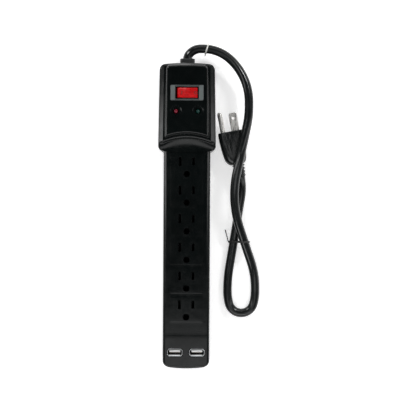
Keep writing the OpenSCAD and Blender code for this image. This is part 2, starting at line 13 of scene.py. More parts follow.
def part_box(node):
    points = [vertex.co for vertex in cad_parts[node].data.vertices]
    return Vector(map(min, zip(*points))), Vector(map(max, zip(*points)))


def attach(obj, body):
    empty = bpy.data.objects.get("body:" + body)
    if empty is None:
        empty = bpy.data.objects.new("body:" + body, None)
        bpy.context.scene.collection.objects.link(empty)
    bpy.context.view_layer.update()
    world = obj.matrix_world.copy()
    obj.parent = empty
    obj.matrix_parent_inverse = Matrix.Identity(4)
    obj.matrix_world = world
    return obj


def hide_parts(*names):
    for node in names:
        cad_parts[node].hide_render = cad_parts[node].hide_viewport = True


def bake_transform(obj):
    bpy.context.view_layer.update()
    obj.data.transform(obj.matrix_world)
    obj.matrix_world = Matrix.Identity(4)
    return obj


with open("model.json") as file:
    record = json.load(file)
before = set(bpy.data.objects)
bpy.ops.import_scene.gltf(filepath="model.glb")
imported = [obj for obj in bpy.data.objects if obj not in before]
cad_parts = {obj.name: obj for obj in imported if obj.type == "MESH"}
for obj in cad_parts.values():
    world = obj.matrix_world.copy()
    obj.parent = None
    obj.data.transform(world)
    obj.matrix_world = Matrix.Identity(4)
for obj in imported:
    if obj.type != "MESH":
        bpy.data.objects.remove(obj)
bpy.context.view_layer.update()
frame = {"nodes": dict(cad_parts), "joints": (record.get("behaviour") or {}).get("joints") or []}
MM = 0.001


def cad(node):
    """Lowest and highest corner of a CAD node, in millimetres."""
    low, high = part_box(node)
    return low / MM, high / MM


def centre(node):
    low, high = cad(node)
    return (low + high) / 2


# ------------------------------------------------------------------ places from the frame

case_high = cad("bottom_case")[1]
cover_low, cover_high = cad("top_cover")
FOOT_Y, TOP_Y = cover_low.y, cover_high.y
SEAM_Z = cover_low.z
CASE_TOP = SEAM_Z - 0.04  # a hair below the cover's edge
HEAD_H = cover_high.z
HEAD_HALF = cover_high.x
bus_low, bus_high = cad("line_bus")
SLOT_X = (bus_low.x + bus_high.x) / 2
OUTLETS = 6
OPENING_DEPTH = 9.0
NEUTRAL_SLOT, LINE_SLOT, SLOT_WIDE = 8.2, 7.0, 2.4
GROUND_R, GROUND_FLAT = 3.05, -2.75
OUTLET_PITCH = (bus_high.y - bus_low.y - 10) / (OUTLETS - 1)
SLOT_Y = bus_high.y - 5
ground_high = cad("ground_bus")[1]
GROUND_DROP = bus_high.y - ground_high.y
usb_low, usb_high = cad("usb_shells")
USB_Y = (usb_low.y + usb_high.y) / 2
USB_W = 14.4
USB_H = usb_high.y - usb_low.y
USB_X = usb_high.x - USB_W / 2
STRIP_H = usb_high.z + 0.3
SWITCH = centre("switch_frame")
BEZEL_TOP = cad("switch_frame")[1].z
LED_LEFT, LED_RIGHT = centre("led_red"), centre("led_green")
CORD_Z = centre("cord_root").z
CORD_R = (cad("cord_root")[1].x - cad("cord_root")[0].x) / 2
BOOT_Y = cad("cord_boot")[1].y
hinges = {j["name"]: Vector(j["pos_m"]) / MM for j in frame["joints"]}
PIVOT = hinges["rocker_tilt"]

STRIP_HALF = 22.5
HEAD_Y = TOP_Y - 84
WALL = 2.4
CASE_WALL = 2.0
CORNER_R = 5.5
EDGE_BELOW = 2.2
POST_R = 3.4
SCREWS = [(side * x, y) for side in (-1, 1) for x, y in
          ((17.0, FOOT_Y + 6.5), (16.4, SLOT_Y - 4 * OUTLET_PITCH + 8.5),
           (16.4, SLOT_Y - OUTLET_PITCH + 8.5), (20.0, TOP_Y - 9))]
KEYHOLES = (SLOT_Y - 5 * OUTLET_PITCH - 24, SLOT_Y + 26)
SWITCH_AT = (SWITCH.x, SWITCH.y, 0)
BEZEL_L, BEZEL_W = 31.5, 14.8
OPEN_L, OPEN_W = 21.9, 11.3
WELL_FLOOR = 19.0
ROCKER_HALF, ROCKER_W, ROCKER_REST = 9.4, 9.4, 10.0
USB_TONGUE_W = 10.4
TIE_Y = (cad("twist_tie")[0].y + 0.95)
TIE_GAP = 0.7


def outlet_y(i):
    """Where the blade slots of an outlet lie, counted from the head."""
    return SLOT_Y - i * OUTLET_PITCH


# ------------------------------------------------------------------ mesh helpers


def smooth_step(t):
    """A rise from 0 to 1, level at both ends."""
    t = min(1.0, max(0.0, t))
    return t * t * (3 - 2 * t)


def round_over(t):
    """A rise from 0 to 1 that starts steeply and rounds over into a level."""
    t = min(1.0, max(0.0, t))
    return 1 - (1 - t) ** 2.4


def make(name, points, faces, sharp=32):
    """A mesh object from points in millimetres, shaded smooth up to the sharp angle."""
    mesh = bpy.data.meshes.new(name)
    mesh.from_pydata([tuple(Vector(p) * MM) for p in points], [], faces)
    return finish_mesh(name, mesh, sharp)


def finish_mesh(name, mesh, sharp=32):
    bm = bmesh.new()
    bm.from_mesh(mesh)
    bmesh.ops.remove_doubles(bm, verts=bm.verts, dist=1e-6)
    bmesh.ops.recalc_face_normals(bm, faces=bm.faces)
    bm.to_mesh(mesh)
    bm.free()
    obj = bpy.data.objects.new(name, mesh)
    bpy.context.scene.collection.objects.link(obj)
    shade(obj, sharp)
    return obj


def shade(obj, sharp=32):
    obj.data.polygons.foreach_set("use_smooth", [True] * len(obj.data.polygons))
    obj.data.set_sharp_from_angle(angle=math.radians(sharp))


def bake(obj, sharp=32):
    """Applies the object's modifiers to its mesh."""
    graph = bpy.context.evaluated_depsgraph_get()
    mesh = bpy.data.meshes.new_from_object(obj.evaluated_get(graph))
    obj.modifiers.clear()
    obj.data = mesh
    shade(obj, sharp)
    return obj


def solidify(obj, thickness):
    """Gives a skin a thickness, inwards from its outer face."""
    mod = obj.modifiers.new("shell", "SOLIDIFY")
    mod.thickness = thickness * MM
    mod.offset = -1
    return bake(obj)


def bevel(obj, width):
    """Breaks the sharp edges of a piece."""
    mod = obj.modifiers.new("edge", "BEVEL")
    mod.width = width * MM
    mod.segments = 2
    mod.limit_method = "ANGLE"
    mod.angle_limit = math.radians(35)
    mod.harden_normals = False
    return bake(obj)


def cut(obj, *cutters, operation="DIFFERENCE"):
    """Cuts the cutters out of a piece, or with UNION adds them to it."""
    for cutter in cutters:
        mod = obj.modifiers.new("cut", "BOOLEAN")
        mod.operation = operation
        mod.object = cutter
        mod.solver = "EXACT"
    bake(obj)
    for cutter in cutters:
        bpy.data.objects.remove(cutter)
    return obj


def join(name, objects, sharp=32):
    """One object from several, in a fixed order."""
    bm = bmesh.new()
    for obj in objects:
        part = obj.data.copy()
        part.transform(obj.matrix_world)
        bm.from_mesh(part)
        bpy.data.objects.remove(obj)
    mesh = bpy.data.meshes.new(name)
    bm.to_mesh(mesh)
    bm.free()
    obj = bpy.data.objects.new(name, mesh)
    bpy.context.scene.collection.objects.link(obj)
    shade(obj, sharp)
    return obj


def loft(name, rings, sharp=32):
    """A closed solid over rings of equal point counts."""
    count = len(rings[0])
    points = [p for ring in rings for p in ring]
    faces = []
    for i in range(len(rings) - 1):
        for j in range(count):
            k = (j + 1) % count
            faces.append((i * count + j, i * count + k, (i + 1) * count + k, (i + 1) * count + j))
    faces.append(tuple(reversed(range(count))))
    faces.append(tuple(range((len(rings) - 1) * count, len(rings) * count)))
    return make(name, points, faces, sharp)


def closed_band(name, loops, sharp=32):
    """A skin over loops that closes on itself both ways, as a ring does."""
    count, total = len(loops[0]), len(loops)
    points = [p for loop in loops for p in loop]
    faces = []
    for i in range(total):
        m = (i + 1) % total
        for j in range(count):
            k = (j + 1) % count
            faces.append((i * count + j, i * count + k, m * count + k, m * count + j))
    return make(name, points, faces, sharp)


def circle(radius, count=32, turn=0.0):
    return [(radius * math.cos(2 * math.pi * i / count + turn),
             radius * math.sin(2 * math.pi * i / count + turn)) for i in range(count)]


def rounded_rect(width, length, radius, steps=6):
    """Outline of a rounded rectangle about the origin, anticlockwise."""
    points = []
    for corner in range(4):
        sx = 1 if corner in (0, 3) else -1
        sy = 1 if corner in (0, 1) else -1
        for i in range(steps + 1):
            a = math.pi / 2 * (corner + i / steps)
            points.append((sx * (width / 2 - radius) + radius * math.cos(a),
                           sy * (length / 2 - radius) + radius * math.sin(a)))
    return points


def prism(name, levels, at=(0, 0, 0), sharp=32):
    """A solid through (outline, z) levels with equal point counts."""
    x, y, z0 = at
    rings = [[(x + px, y + py, z0 + z) for px, py in outline] for outline, z in levels]
    return loft(name, rings, sharp=sharp)


def lathe(name, profile, at, axis="Z", count=40, sharp=32):
    """A turned solid: profile is (radius, height) along the axis."""
    rings = []
    for radius, height in profile:
        ring = []
        for px, py in circle(max(radius, 1e-4), count):
            local = {"Z": (px, py, height), "Y": (px, height, -py), "X": (height, px, py)}[axis]
            ring.append(tuple(Vector(at) + Vector(local)))
        rings.append(ring)
    return loft(name, rings, sharp=sharp)


def chamfered(outline, amount):
    """The outline moved outwards along its normals by amount."""
    moved = []
    count = len(outline)
    for i in range(count):
        a = Vector(outline[i - 1])
        b = Vector(outline[(i + 1) % count])
        along = (b - a).normalized()
        moved.append((outline[i][0] + along.y * amount, outline[i][1] - along.x * amount))
    return moved


def inset(outline, amount):
    """The outline moved inwards along its normals by amount."""
    return chamfered(outline, -amount)


# ------------------------------------------------------------------ materials


def nodes_of(name):
    mat = bpy.data.materials.new(name)
    mat.use_nodes = True
    tree = mat.node_tree
    return mat, tree, tree.nodes["Principled BSDF"]


def add(tree, kind, **values):
    node = tree.nodes.new(kind)
    for key, value in values.items():
        if key in node.inputs:
            node.inputs[key].default_value = value
        else:
            setattr(node, key, value)
    return node


def object_place(tree):
    return add(tree, "ShaderNodeTexCoord").outputs["Object"]


def noise(tree, scale, detail=3.0, rough=0.5, stretch=None):
    """A noise texture in object space, in cycles a metre, optionally stretched."""
    source = object_place(tree)
    tex = add(tree, "ShaderNodeTexNoise", Scale=scale, Detail=detail, Roughness=rough)
    if stretch:
        mapping = add(tree, "ShaderNodeMapping")
        mapping.inputs["Scale"].default_value = stretch
        tree.links.new(source, mapping.inputs["Vector"])
        source = mapping.outputs["Vector"]
    tree.links.new(source, tex.inputs["Vector"])
    return tex.outputs["Fac"]


def ramp(tree, source, low, high, start=0.35, end=0.65):
    """Maps a factor between two colours or two grey values."""
    node = add(tree, "ShaderNodeValToRGB")
    node.color_ramp.elements[0].position = start
    node.color_ramp.elements[1].position = end
    for element, value in zip(node.color_ramp.elements, (low, high)):
        element.color = value if isinstance(value, tuple) else (value, value, value, 1)
    tree.links.new(source, node.inputs["Fac"])
    return node.outputs["Color"]


def bump(tree, shader, source, distance):
    """Adds a bump in metres, on top of any bump the shader already has."""
    node = add(tree, "ShaderNodeBump", Strength=1.0, Distance=distance)
    tree.links.new(source, node.inputs["Height"])
    socket = shader.inputs["Normal"]
    if socket.is_linked:
        tree.links.new(socket.links[0].from_socket, node.inputs["Normal"])
    tree.links.new(node.outputs["Normal"], socket)


def shade_of(colour, factor):
    return tuple(min(1.0, c * factor) for c in colour[:3]) + (1,)


def plastic(name, colour, rough=0.4, spread=0.08, grain=9000, slope=0.03, vary=0.12,
            edge=None, shine=0.5):
    """Moulded plastic: spark texture of a given mean slope, uneven tint and gloss, and edges
    painted paler as a highlight.
    """
    mat, tree, shader = nodes_of(name)
    slow = noise(tree, 45, 4)
    tint = ramp(tree, slow, shade_of(colour, 1 - vary), shade_of(colour, 1 + vary))
    # Painted highlight: pointy edges are painted paler by the factor edge.
    if edge:
        highlight_edges = add(tree, "ShaderNodeNewGeometry").outputs["Pointiness"]
        mask = ramp(tree, highlight_edges, 0.0, 1.0, 0.52, 0.58)
        mix = add(tree, "ShaderNodeMixRGB", Color2=shade_of(colour, edge))
        tree.links.new(mask, mix.inputs["Fac"])
        tree.links.new(tint, mix.inputs["Color1"])
        tint = mix.outputs["Color"]
    tree.links.new(tint, shader.inputs["Base Color"])
    gloss = noise(tree, 160, 5, 0.6)
    tree.links.new(ramp(tree, gloss, rough - spread, rough + spread), shader.inputs["Roughness"])
    bump(tree, shader, noise(tree, grain, 2), slope / grain)
    shader.inputs["Specular IOR Level"].default_value = shine
    return mat


def metal(name, colour, rough=0.25, stretch=(1, 1, 1), plated=1.0):
    """Plated metal: drawing lines along one axis, soft stains and fine scratches."""
    mat, tree, shader = nodes_of(name)
    lines = noise(tree, 600, 4, 0.6, stretch)
    stain = noise(tree, 120, 4)
    tree.links.new(ramp(tree, stain, shade_of(colour, 0.88), shade_of(colour, 1.12)),
                   shader.inputs["Base Color"])
    tree.links.new(ramp(tree, lines, rough * 0.6, rough * 1.5), shader.inputs["Roughness"])
    shader.inputs["Metallic"].default_value = plated
    bump(tree, shader, lines, 0.000008)
    return mat


def paint_depth_shade(mat, start, end):
    """Paints shade on a metal from a height in metres down, darkening it as inside a deep socket.
    """
    tree = mat.node_tree
    shader = next(node for node in tree.nodes if node.type == "BSDF_PRINCIPLED")
    split = add(tree, "ShaderNodeSeparateXYZ")
    tree.links.new(object_place(tree), split.inputs["Vector"])
    scaled = add(tree, "ShaderNodeMapRange")
    scaled.inputs["From Min"].default_value = start
    scaled.inputs["From Max"].default_value = end
    tree.links.new(split.outputs["Z"], scaled.inputs["Value"])
    # Near-black painted shade colour, mixed in more the deeper the metal lies.
    mix = add(tree, "ShaderNodeMixRGB", Color1=(0.012, 0.012, 0.012, 1))
    tree.links.new(scaled.outputs["Result"], mix.inputs["Fac"])
    base = shader.inputs["Base Color"]
    tree.links.new(base.links[0].from_socket, mix.inputs["Color2"])
    tree.links.new(mix.outputs["Color"], base)
    return mat


def lens(name, colour, rough=0.12, transmission=0.55, glow=0.0, shine=0.5):
    """Clear tinted plastic, cloudy inside."""
    mat, tree, shader = nodes_of(name)
    cloud = noise(tree, 500, 4)
    tree.links.new(ramp(tree, cloud, shade_of(colour, 0.7), shade_of(colour, 1.15)),
                   shader.inputs["Base Color"])
    tree.links.new(ramp(tree, noise(tree, 300), rough * 0.7, rough * 1.4),
                   shader.inputs["Roughness"])
    shader.inputs["Transmission Weight"].default_value = transmission
    shader.inputs["IOR"].default_value = 1.49
    shader.inputs["Specular IOR Level"].default_value = shine
    shader.inputs["Emission Color"].default_value = shade_of(colour, 1.0)
    shader.inputs["Emission Strength"].default_value = glow
    bump(tree, shader, noise(tree, 2500, 2), 0.000006)
    return mat


def cord_material():
    """Glossy vinyl with faint lengthwise drag marks and a waxy bloom."""
    mat, tree, shader = nodes_of("cord_vinyl")
    slow = noise(tree, 70, 4)
    tree.links.new(ramp(tree, slow, (0.005, 0.0062, 0.0064, 1), (0.009, 0.0105, 0.0108, 1)),
                   shader.inputs["Base Color"])
    tree.links.new(ramp(tree, noise(tree, 260, 5, 0.65), 0.12, 0.19), shader.inputs["Roughness"])
    bump(tree, shader, noise(tree, 300, 3), 0.00002)
    bump(tree, shader, noise(tree, 6000, 2), 0.000002)
    return mat


def board_material():
    """Green solder mask with the relief of copper tracks."""
    mat, tree, shader = nodes_of("solder_mask")
    tracks = add(tree, "ShaderNodeTexBrick", Scale=260.0)
    tracks.inputs["Mortar Size"].default_value = 0.035
    tree.links.new(object_place(tree), tracks.inputs["Vector"])
    tracks.inputs["Color1"].default_value = (0.02, 0.16, 0.06, 1)
    tracks.inputs["Color2"].default_value = (0.03, 0.2, 0.075, 1)
    tracks.inputs["Mortar"].default_value = (0.05, 0.3, 0.12, 1)
    tree.links.new(tracks.outputs["Color"], shader.inputs["Base Color"])
    tree.links.new(ramp(tree, noise(tree, 300), 0.25, 0.45), shader.inputs["Roughness"])
    bump(tree, shader, tracks.outputs["Fac"], 0.00003)
    return mat


def banded(name, colour, band, scale=120.0):
    """A wrapped or colour-ringed part: bands across its length."""
    mat, tree, shader = nodes_of(name)
    wave = add(tree, "ShaderNodeTexWave", Scale=scale, Distortion=0.6)
    wave.inputs["Detail"].default_value = 2
    tree.links.new(object_place(tree), wave.inputs["Vector"])
    tree.links.new(ramp(tree, wave.outputs["Fac"], band, colour, 0.18, 0.3),
                   shader.inputs["Base Color"])
    tree.links.new(ramp(tree, noise(tree, 400), 0.3, 0.5), shader.inputs["Roughness"])
    bump(tree, shader, noise(tree, 2500), 0.00002)
    return mat


# edge=1.5 paints a highlight on the housing's edges.
HOUSING = plastic("housing_black", (0.0026, 0.0038, 0.0038), 0.15, 0.03, grain=7000,
                  slope=0.008, vary=0.15, edge=1.5, shine=0.45)
BOOT = plastic("boot_rubber", (0.012, 0.0132, 0.0134), 0.35, 0.06, grain=3500, slope=0.05)
PLUG = plastic("plug_vinyl", (0.006, 0.0072, 0.0074), 0.24, 0.05, grain=4200, slope=0.03)
# edge=1.2 paints a highlight on the bezel's edges.
BEZEL = plastic("bezel_grey", (0.105, 0.121, 0.119), 0.4, 0.05, grain=8000, edge=1.2)
# Painted shade: the flange plate is a darker copy of the pads' grey.
BEZEL_SHADED = plastic("bezel_rim_shaded", (0.05, 0.057, 0.057), 0.4, 0.05, grain=8000, edge=1.2)
WHITE = plastic("white_nylon", (0.78, 0.78, 0.75), 0.38, 0.07, grain=5000, vary=0.04)
TONGUE = plastic("tongue_white", (0.8, 0.81, 0.8), 0.3, 0.05, grain=6000, vary=0.03)
TIE = plastic("tie_black", (0.02, 0.02, 0.02), 0.35, 0.08, grain=3000)
MARK = plastic("rocker_mark", (0.14, 0.01, 0.01), 0.4, 0.05, grain=6000, vary=0.05)
LEAD_BLACK = plastic("lead_black", (0.02, 0.02, 0.02), 0.3)
LEAD_WHITE = plastic("lead_white", (0.75, 0.75, 0.73), 0.3)
LEAD_GREEN = plastic("lead_green", (0.02, 0.22, 0.05), 0.3)
LEAD_RED = plastic("lead_red", (0.35, 0.02, 0.02), 0.3)
EPOXY = plastic("blue_epoxy", (0.02, 0.09, 0.42), 0.22, 0.05, grain=900, slope=0.05)
SLEEVE = banded("capacitor_sleeve", (0.02, 0.06, 0.2, 1), (0.5, 0.52, 0.55, 1), 30)
CERAMIC = banded("ceramic_bands", (0.6, 0.47, 0.3, 1), (0.25, 0.05, 0.03, 1))
TAPE = banded("transformer_tape", (0.7, 0.46, 0.05, 1), (0.12, 0.1, 0.08, 1), 60)
NICKEL = metal("nickel_plate", (0.8, 0.79, 0.76), 0.3, (1, 0.12, 1), plated=0.75)
# The USB shell is painted near black below its mouth, as painted shade inside the port.
SHELL = paint_depth_shade(metal("tin_shell", (0.86, 0.88, 0.9), 0.3, (0.15, 1, 1), plated=0.3),
                (usb_high.z - 1.3) * MM, (usb_high.z - 0.5) * MM)
# The brass is painted near black deep down, as painted shade inside the sockets.
BRASS = paint_depth_shade(metal("brass_strip", (0.6, 0.4, 0.16), 0.35, (1, 0.08, 1)),
                bus_high.z * MM, (bus_high.z + 12) * MM)
GOLD = metal("gold_contact", (0.9, 0.66, 0.3), 0.2)
STEEL = metal("zinc_steel", (0.62, 0.63, 0.65), 0.3)
CORD = cord_material()
BOARD = board_material()
RED_LENS = lens("led_red_lens", (0.32, 0.02, 0.045), 0.1, 0.5, 0.005)
GREEN_LENS = lens("led_green_lens", (0.005, 0.06, 0.05), 0.1, 0.5, 0.004)
ROCKER_RED = lens("rocker_red", (0.56, 0.004, 0.006), 0.3, 0.1, 0.05, 0.2)
GLASS = lens("lamp_glass", (0.95, 0.75, 0.6), 0.05, 0.9)


def dress(obj, material, body, replaced=()):
    """Gives a finished piece its material, its body and the CAD nodes it stands for."""
    obj.data.materials.clear()
    obj.data.materials.append(material)
    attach(obj, body)
    if replaced:
        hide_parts(*replaced)
    return obj


# ------------------------------------------------------------------ housing

HEAD_NARROW = HEAD_HALF - 1.2
HEAD_EDGE_R, STRIP_EDGE_R = 1.8, 2.8
FOOT_RISE = HEAD_H - 3.2
FLANK_SLOPE = 0.78
PANEL_BAND = 2.3
PAD_W, PAD_UP, PAD_DOWN, PAD_RISE = 31.0, 8.3, 16.7, 0.025
FOOT_PAD_Y = SLOT_Y - (OUTLETS - 1) * OUTLET_PITCH - PAD_DOWN - 12.4
WELL_W, WELL_L, WELL_DEEP, WELL_DROP = 24.0, 24.0, 5.0, 5.2


def head_half(y):
    """Half-width of the head before its corners are rounded."""
    return HEAD_HALF + (HEAD_NARROW - HEAD_HALF) * (y - HEAD_Y) / (TOP_Y - HEAD_Y)


def corner_loss(gap, radius):
    """How much a rounded corner takes off at a distance from the end."""
    if gap >= radius:
        return 0.0
    return radius - math.sqrt(max(0.0, radius ** 2 - (radius - max(gap, 0)) ** 2))


def half_width(y):
    """Half-width of the whole housing at y."""
    if y < HEAD_Y:
        return STRIP_HALF - corner_loss(y - FOOT_Y, CORNER_R)
    half = head_half(y) - corner_loss(TOP_Y - y, CORNER_R)
    return half - corner_loss(y - HEAD_Y, CORNER_R)


def arch(x, y):
    """The cord end bows outwards and the foot end bulges, fading away from both ends."""
    head = -1.6 * (x / HEAD_HALF) ** 2 * smooth_step((y - TOP_Y + 24) / 24)
    foot = 2.0 * (x / STRIP_HALF) ** 2 * smooth_step((FOOT_Y + 24 - y) / 24)
    return head + foot


def low_arc(x):
    """Lower outline of the raised panel."""
    return HEAD_Y + 16.6 - 3.9 * (x / 21.0) ** 2


def ledge_arc(x):
    """Outer outline of the ledge below the panel."""
    return HEAD_Y + 12.2 - 4.8 * (min(abs(x), 23.6) / 23.3) ** 2


def panel_inside(x, y):
    """Distance from (x, y) in to the raised panel's outline, negative outside."""
    side = head_half(y) - 6.3 - abs(x)
    top = TOP_Y - 1.6 - y
    low = (y - low_arc(x)) * 0.97
    for end, radius in ((top, 3.6), (low, 1.6)):
        if side < radius and end < radius:
            return radius - math.hypot(radius - side, radius - end)
    return min(side, top, low)


def led_dish(x, y):
    """Shallow round dishes around the two lamps."""
    loss = 0.0
    for lamp in (LED_LEFT, LED_RIGHT):
        far = math.hypot(x - lamp.x, y - lamp.y)
        loss += 0.16 * smooth_step((5.9 - far) / 1.5)
    return loss


def head_top(x, y):
    """Height of the head's face."""
    half = head_half(y)
    flank = FOOT_RISE - FLANK_SLOPE * max(0.0, abs(x) - (half - 4.7))
    flank -= 0.6 * max(0.0, 1.2 - (TOP_Y - y))
    level = (y - HEAD_Y) / (ledge_arc(x) - HEAD_Y)
    ramp_z = STRIP_H + 1.1 + 1.3 * min(1.0, max(0.0, level)) ** 2
    ledge = round_over((y - ledge_arc(x)) / 2.7)
    z = min(flank, ramp_z) + max(0.0, flank - ramp_z) * ledge
    inside = panel_inside(x, y)
    if inside > 0:
        z += (HEAD_H - z) * round_over(inside / PANEL_BAND)
        z -= led_dish(x, y)
    return z


def strip_top(x, y):
    """Height of the outlet face: slightly crowned, with a low pad round each outlet."""
    z = STRIP_H - PAD_RISE - 0.5 * (x / STRIP_HALF) ** 2
    for i in range(OUTLETS):
        line = outlet_y(i)
        edge = min(PAD_W / 2 - abs(x), line + PAD_UP - y, y - line + PAD_DOWN)
        if edge > 0:
            z += PAD_RISE * smooth_step(edge / 0.8)
    if y < FOOT_PAD_Y:
        z += PAD_RISE * 0.9 * smooth_step((FOOT_PAD_Y - y) / 0.6)
    return z


def end_loss(y, radius=2.4):
    """Rounding of the top edge at both ends of the housing."""
    return corner_loss(TOP_Y - y, radius) + corner_loss(y - FOOT_Y, radius)


def cover_stations():
    """Places along the cover: close together where the shape changes quickly."""
    ends = [0.0, 0.06, 0.25, 0.6, 1.0, 1.5, 2.1, 2.8, 3.6, 4.5, 5.5]
    places = [FOOT_Y + e for e in ends]
    y = FOOT_Y + 7.5
    edges = [FOOT_PAD_Y]
    for i in range(OUTLETS):
        line = outlet_y(i)
        edges += [line + PAD_UP, line - PAD_DOWN + 0.6]
    for edge in edges:
        places += [edge, edge - 0.2, edge - 0.4, edge - 0.6]
    while y < HEAD_Y - 1:
        places.append(y)
        y += 3.4
    places += [HEAD_Y - 0.05]
    y = HEAD_Y
    while y < TOP_Y - 5.6:
        places.append(y)
        y += 0.28 if HEAD_Y + 5 < y < HEAD_Y + 20 else 0.6
    places += [TOP_Y - e for e in ends]
    places = sorted(set(round(p, 3) for p in places))
    return [p for i, p in enumerate(places) if i == 0 or p - places[i - 1] > 0.03]


# Each half of the cover's section has some points up its wall, then columns across its face
WALL_POINTS, TOP_COLUMNS = 11, 58
# The V-groove at the seam, and how far a wall leans in over its height
SEAM_V, DRAFT = 0.3, 0.3


def cover_section(y):
    """Half of the cover's section at y, from the seam up and in to the middle."""
    half = half_width(y)
    surface = head_top if y >= HEAD_Y else strip_top
    radius = HEAD_EDGE_R if y >= HEAD_Y else STRIP_EDGE_R
    rim = surface(half - radius, y)
    loss = end_loss(y)
    wall_top = rim - radius - loss
    points = [(half - SEAM_V, SEAM_Z), (half, SEAM_Z + SEAM_V)]
    points.append((half - DRAFT / 2, (SEAM_Z + wall_top) / 2))
    points.append((half - DRAFT, wall_top))
    inner = half - DRAFT - radius
    for i in range(1, 8):
        a = math.pi / 2 * i / 8
        points.append((inner + radius * math.cos(a), wall_top + radius * math.sin(a)))
    for i in range(TOP_COLUMNS + 1):
        x = inner * (1 - i / TOP_COLUMNS)
        points.append((x, surface(x, y) - loss))
    return points


def cover_skin():
    """The cover's outer surface, open at the seam."""
    rows = []
    for y in cover_stations():
        right = cover_section(y)
        section = right + [(-x, z) for x, z in reversed(right[:-1])]
        rows.append([(x, y + arch(x, y), z) for x, z in section])
    count = len(rows[0])
    points = [p for row in rows for p in row]
    faces = []
    for i in range(len(rows) - 1):
        for j in range(count - 1):
            a = i * count + j
            faces.append((a, a + 1, a + count + 1, a + count))
    for row, base, inward in ((rows[0], 0, 1), (rows[-1], (len(rows) - 1) * count, -1)):
        first = WALL_POINTS
        sides = [base + j for j in range(first, count - first)]
        upper = range(len(points), len(points) + len(sides))
        points += [(p[0], p[1], SEAM_Z + SEAM_V) for p in row[first:count - first]]
        lower = range(len(points), len(points) + len(sides))
        points += [(p[0], p[1] + SEAM_V * inward, SEAM_Z) for p in row[first:count - first]]
        for k in range(len(sides) - 1):
            faces.append((sides[k], sides[k + 1], upper[k + 1], upper[k]))
            faces.append((upper[k], upper[k + 1], lower[k + 1], lower[k]))
        near = [base + j for j in range(1, first + 1)]
        far = [base + j for j in range(count - first - 1, count - 1)]
        faces.append(tuple(near + [upper[0]]))
        faces.append((base, near[0], upper[0], lower[0]))
        faces.append(tuple(far + [upper[-1]]))
        faces.append((base + count - 1, far[-1], upper[-1], lower[-1]))
    return make("top_cover_shell", points, faces)


def slot_cutter(x, y, length):
    """A straight slot with a small lead-in chamfer."""
    outline = rounded_rect(SLOT_WIDE, length, 0.25, 2)
    flare = chamfered(outline, 0.35)
    return prism("slot", [(outline, -OPENING_DEPTH), (outline, -0.35), (flare, 0.0), (flare, 2.0)],
                 (x, y, STRIP_H))


def ground_cutter(y):
    """The ground hole: round above, flat below, with a lead-in chamfer."""
    outline = []
    start = math.asin(GROUND_FLAT / GROUND_R)
    sweep = math.pi - 2 * start
    for i in range(25):
        a = start + sweep * i / 24
        outline.append((GROUND_R * math.cos(a), GROUND_R * math.sin(a)))
    flare = chamfered(outline, 0.35)
    return prism("ground", [(outline, -OPENING_DEPTH), (outline, -0.35), (flare, 0.0),
                            (flare, 2.0)], (0, y, STRIP_H))


def usb_outline(grow=0.0, chamfer=1.7):
    w, h, c = USB_W / 2 + grow, USB_H / 2 + grow, chamfer
    return [(-w + c, -h), (w - c, -h), (w, -h + c), (w, h - c), (w - c, h), (-w + c, h),
            (-w, h - c), (-w, -h + c)]


def cover_cutters():
    """Every opening in the cover, as one cutting body."""
    parts = []
    for i in range(OUTLETS):
        line = outlet_y(i)
        parts.append(slot_cutter(-SLOT_X, line, NEUTRAL_SLOT))
        parts.append(slot_cutter(SLOT_X, line, LINE_SLOT))
        parts.append(ground_cutter(line - GROUND_DROP))
    for side in (-1, 1):
        parts.append(prism("usb", [(usb_outline(0.1), -9), (usb_outline(0.1), -0.7),
                                   (usb_outline(0.75), 0.0), (usb_outline(0.75), 2)],
                           (side * USB_X, USB_Y, STRIP_H)))
    for lamp in (LED_LEFT, LED_RIGHT):
        parts.append(lathe("lamp", [(2.7, -9), (2.7, -0.6), (3.0, -0.3), (3.0, 3)],
                           (lamp.x, lamp.y, HEAD_H)))
    parts.append(prism("switch", [(rounded_rect(26.2, 13.2, 0.5, 2), -9),
                                  (rounded_rect(26.2, 13.2, 0.5, 2), 3)],
                       (SWITCH.x, SWITCH.y, HEAD_H)))
    return join("cutters", parts)


def end_ring(y, size, radius, steps):
    """A rounded square about the cord, standing a distance y out from the end wall."""
    return [(x, TOP_Y + y, CORD_Z + z) for x, z in rounded_rect(size, size, radius, steps)]


def boot_cutter():
    return loft("boot_hole", [end_ring(y, 11.2, 0.6, 2) for y in (-8, 4)])


def outlet_wells():
    """Thick blocks under the face that make each outlet's openings deep and dark."""
    wells = []
    for i in range(OUTLETS):
        outline = rounded_rect(WELL_W, WELL_L, 1.0, 3)
        at = (0, outlet_y(i) - WELL_DROP, STRIP_H)
        wells.append(prism("well", [(outline, -WALL - WELL_DEEP), (outline, -1.2)], at))
    return join("wells", wells)


def top_cover():
    shell = solidify(cover_skin(), WALL)
    cut(shell, outlet_wells(), operation="UNION")
    cut(shell, cover_cutters(), boot_cutter())
    return dress(shell, HOUSING, "housing", ["top_cover"])


def outline_rows():
    """The housing's outline at the seam, anticlockwise from the foot's right corner."""
    right = []
    for y in cover_stations():
        half = half_width(y)
        right.append((half, y + arch(half, y)))
    thin = [right[0]]
    for point in right[1:]:
        if math.dist(point, thin[-1]) > 0.8:
            thin.append(point)
    thin[-1] = right[-1]
    half_top = thin[-1][0]
    half_foot = thin[0][0]
    top = [(x, TOP_Y + arch(x, TOP_Y)) for x in
           (half_top * (1 - 2 * i / 14) for i in range(1, 14))]
    foot = [(x, FOOT_Y + arch(x, FOOT_Y)) for x in
            (-half_foot * (1 - 2 * i / 14) for i in range(1, 14))]
    left = [(-x, y) for x, y in reversed(thin)]
    return thin + top + left + foot


def shrunk(outline, amount):
    """The outline pulled in from both sides and both ends, so that it can't fold over."""
    middle = (FOOT_Y + TOP_Y) / 2
    squeeze = 1 - 2 * amount / (TOP_Y - FOOT_Y)
    return [(math.copysign(max(0.0, abs(x) - amount), x), middle + (y - middle) * squeeze)
            for x, y in outline]


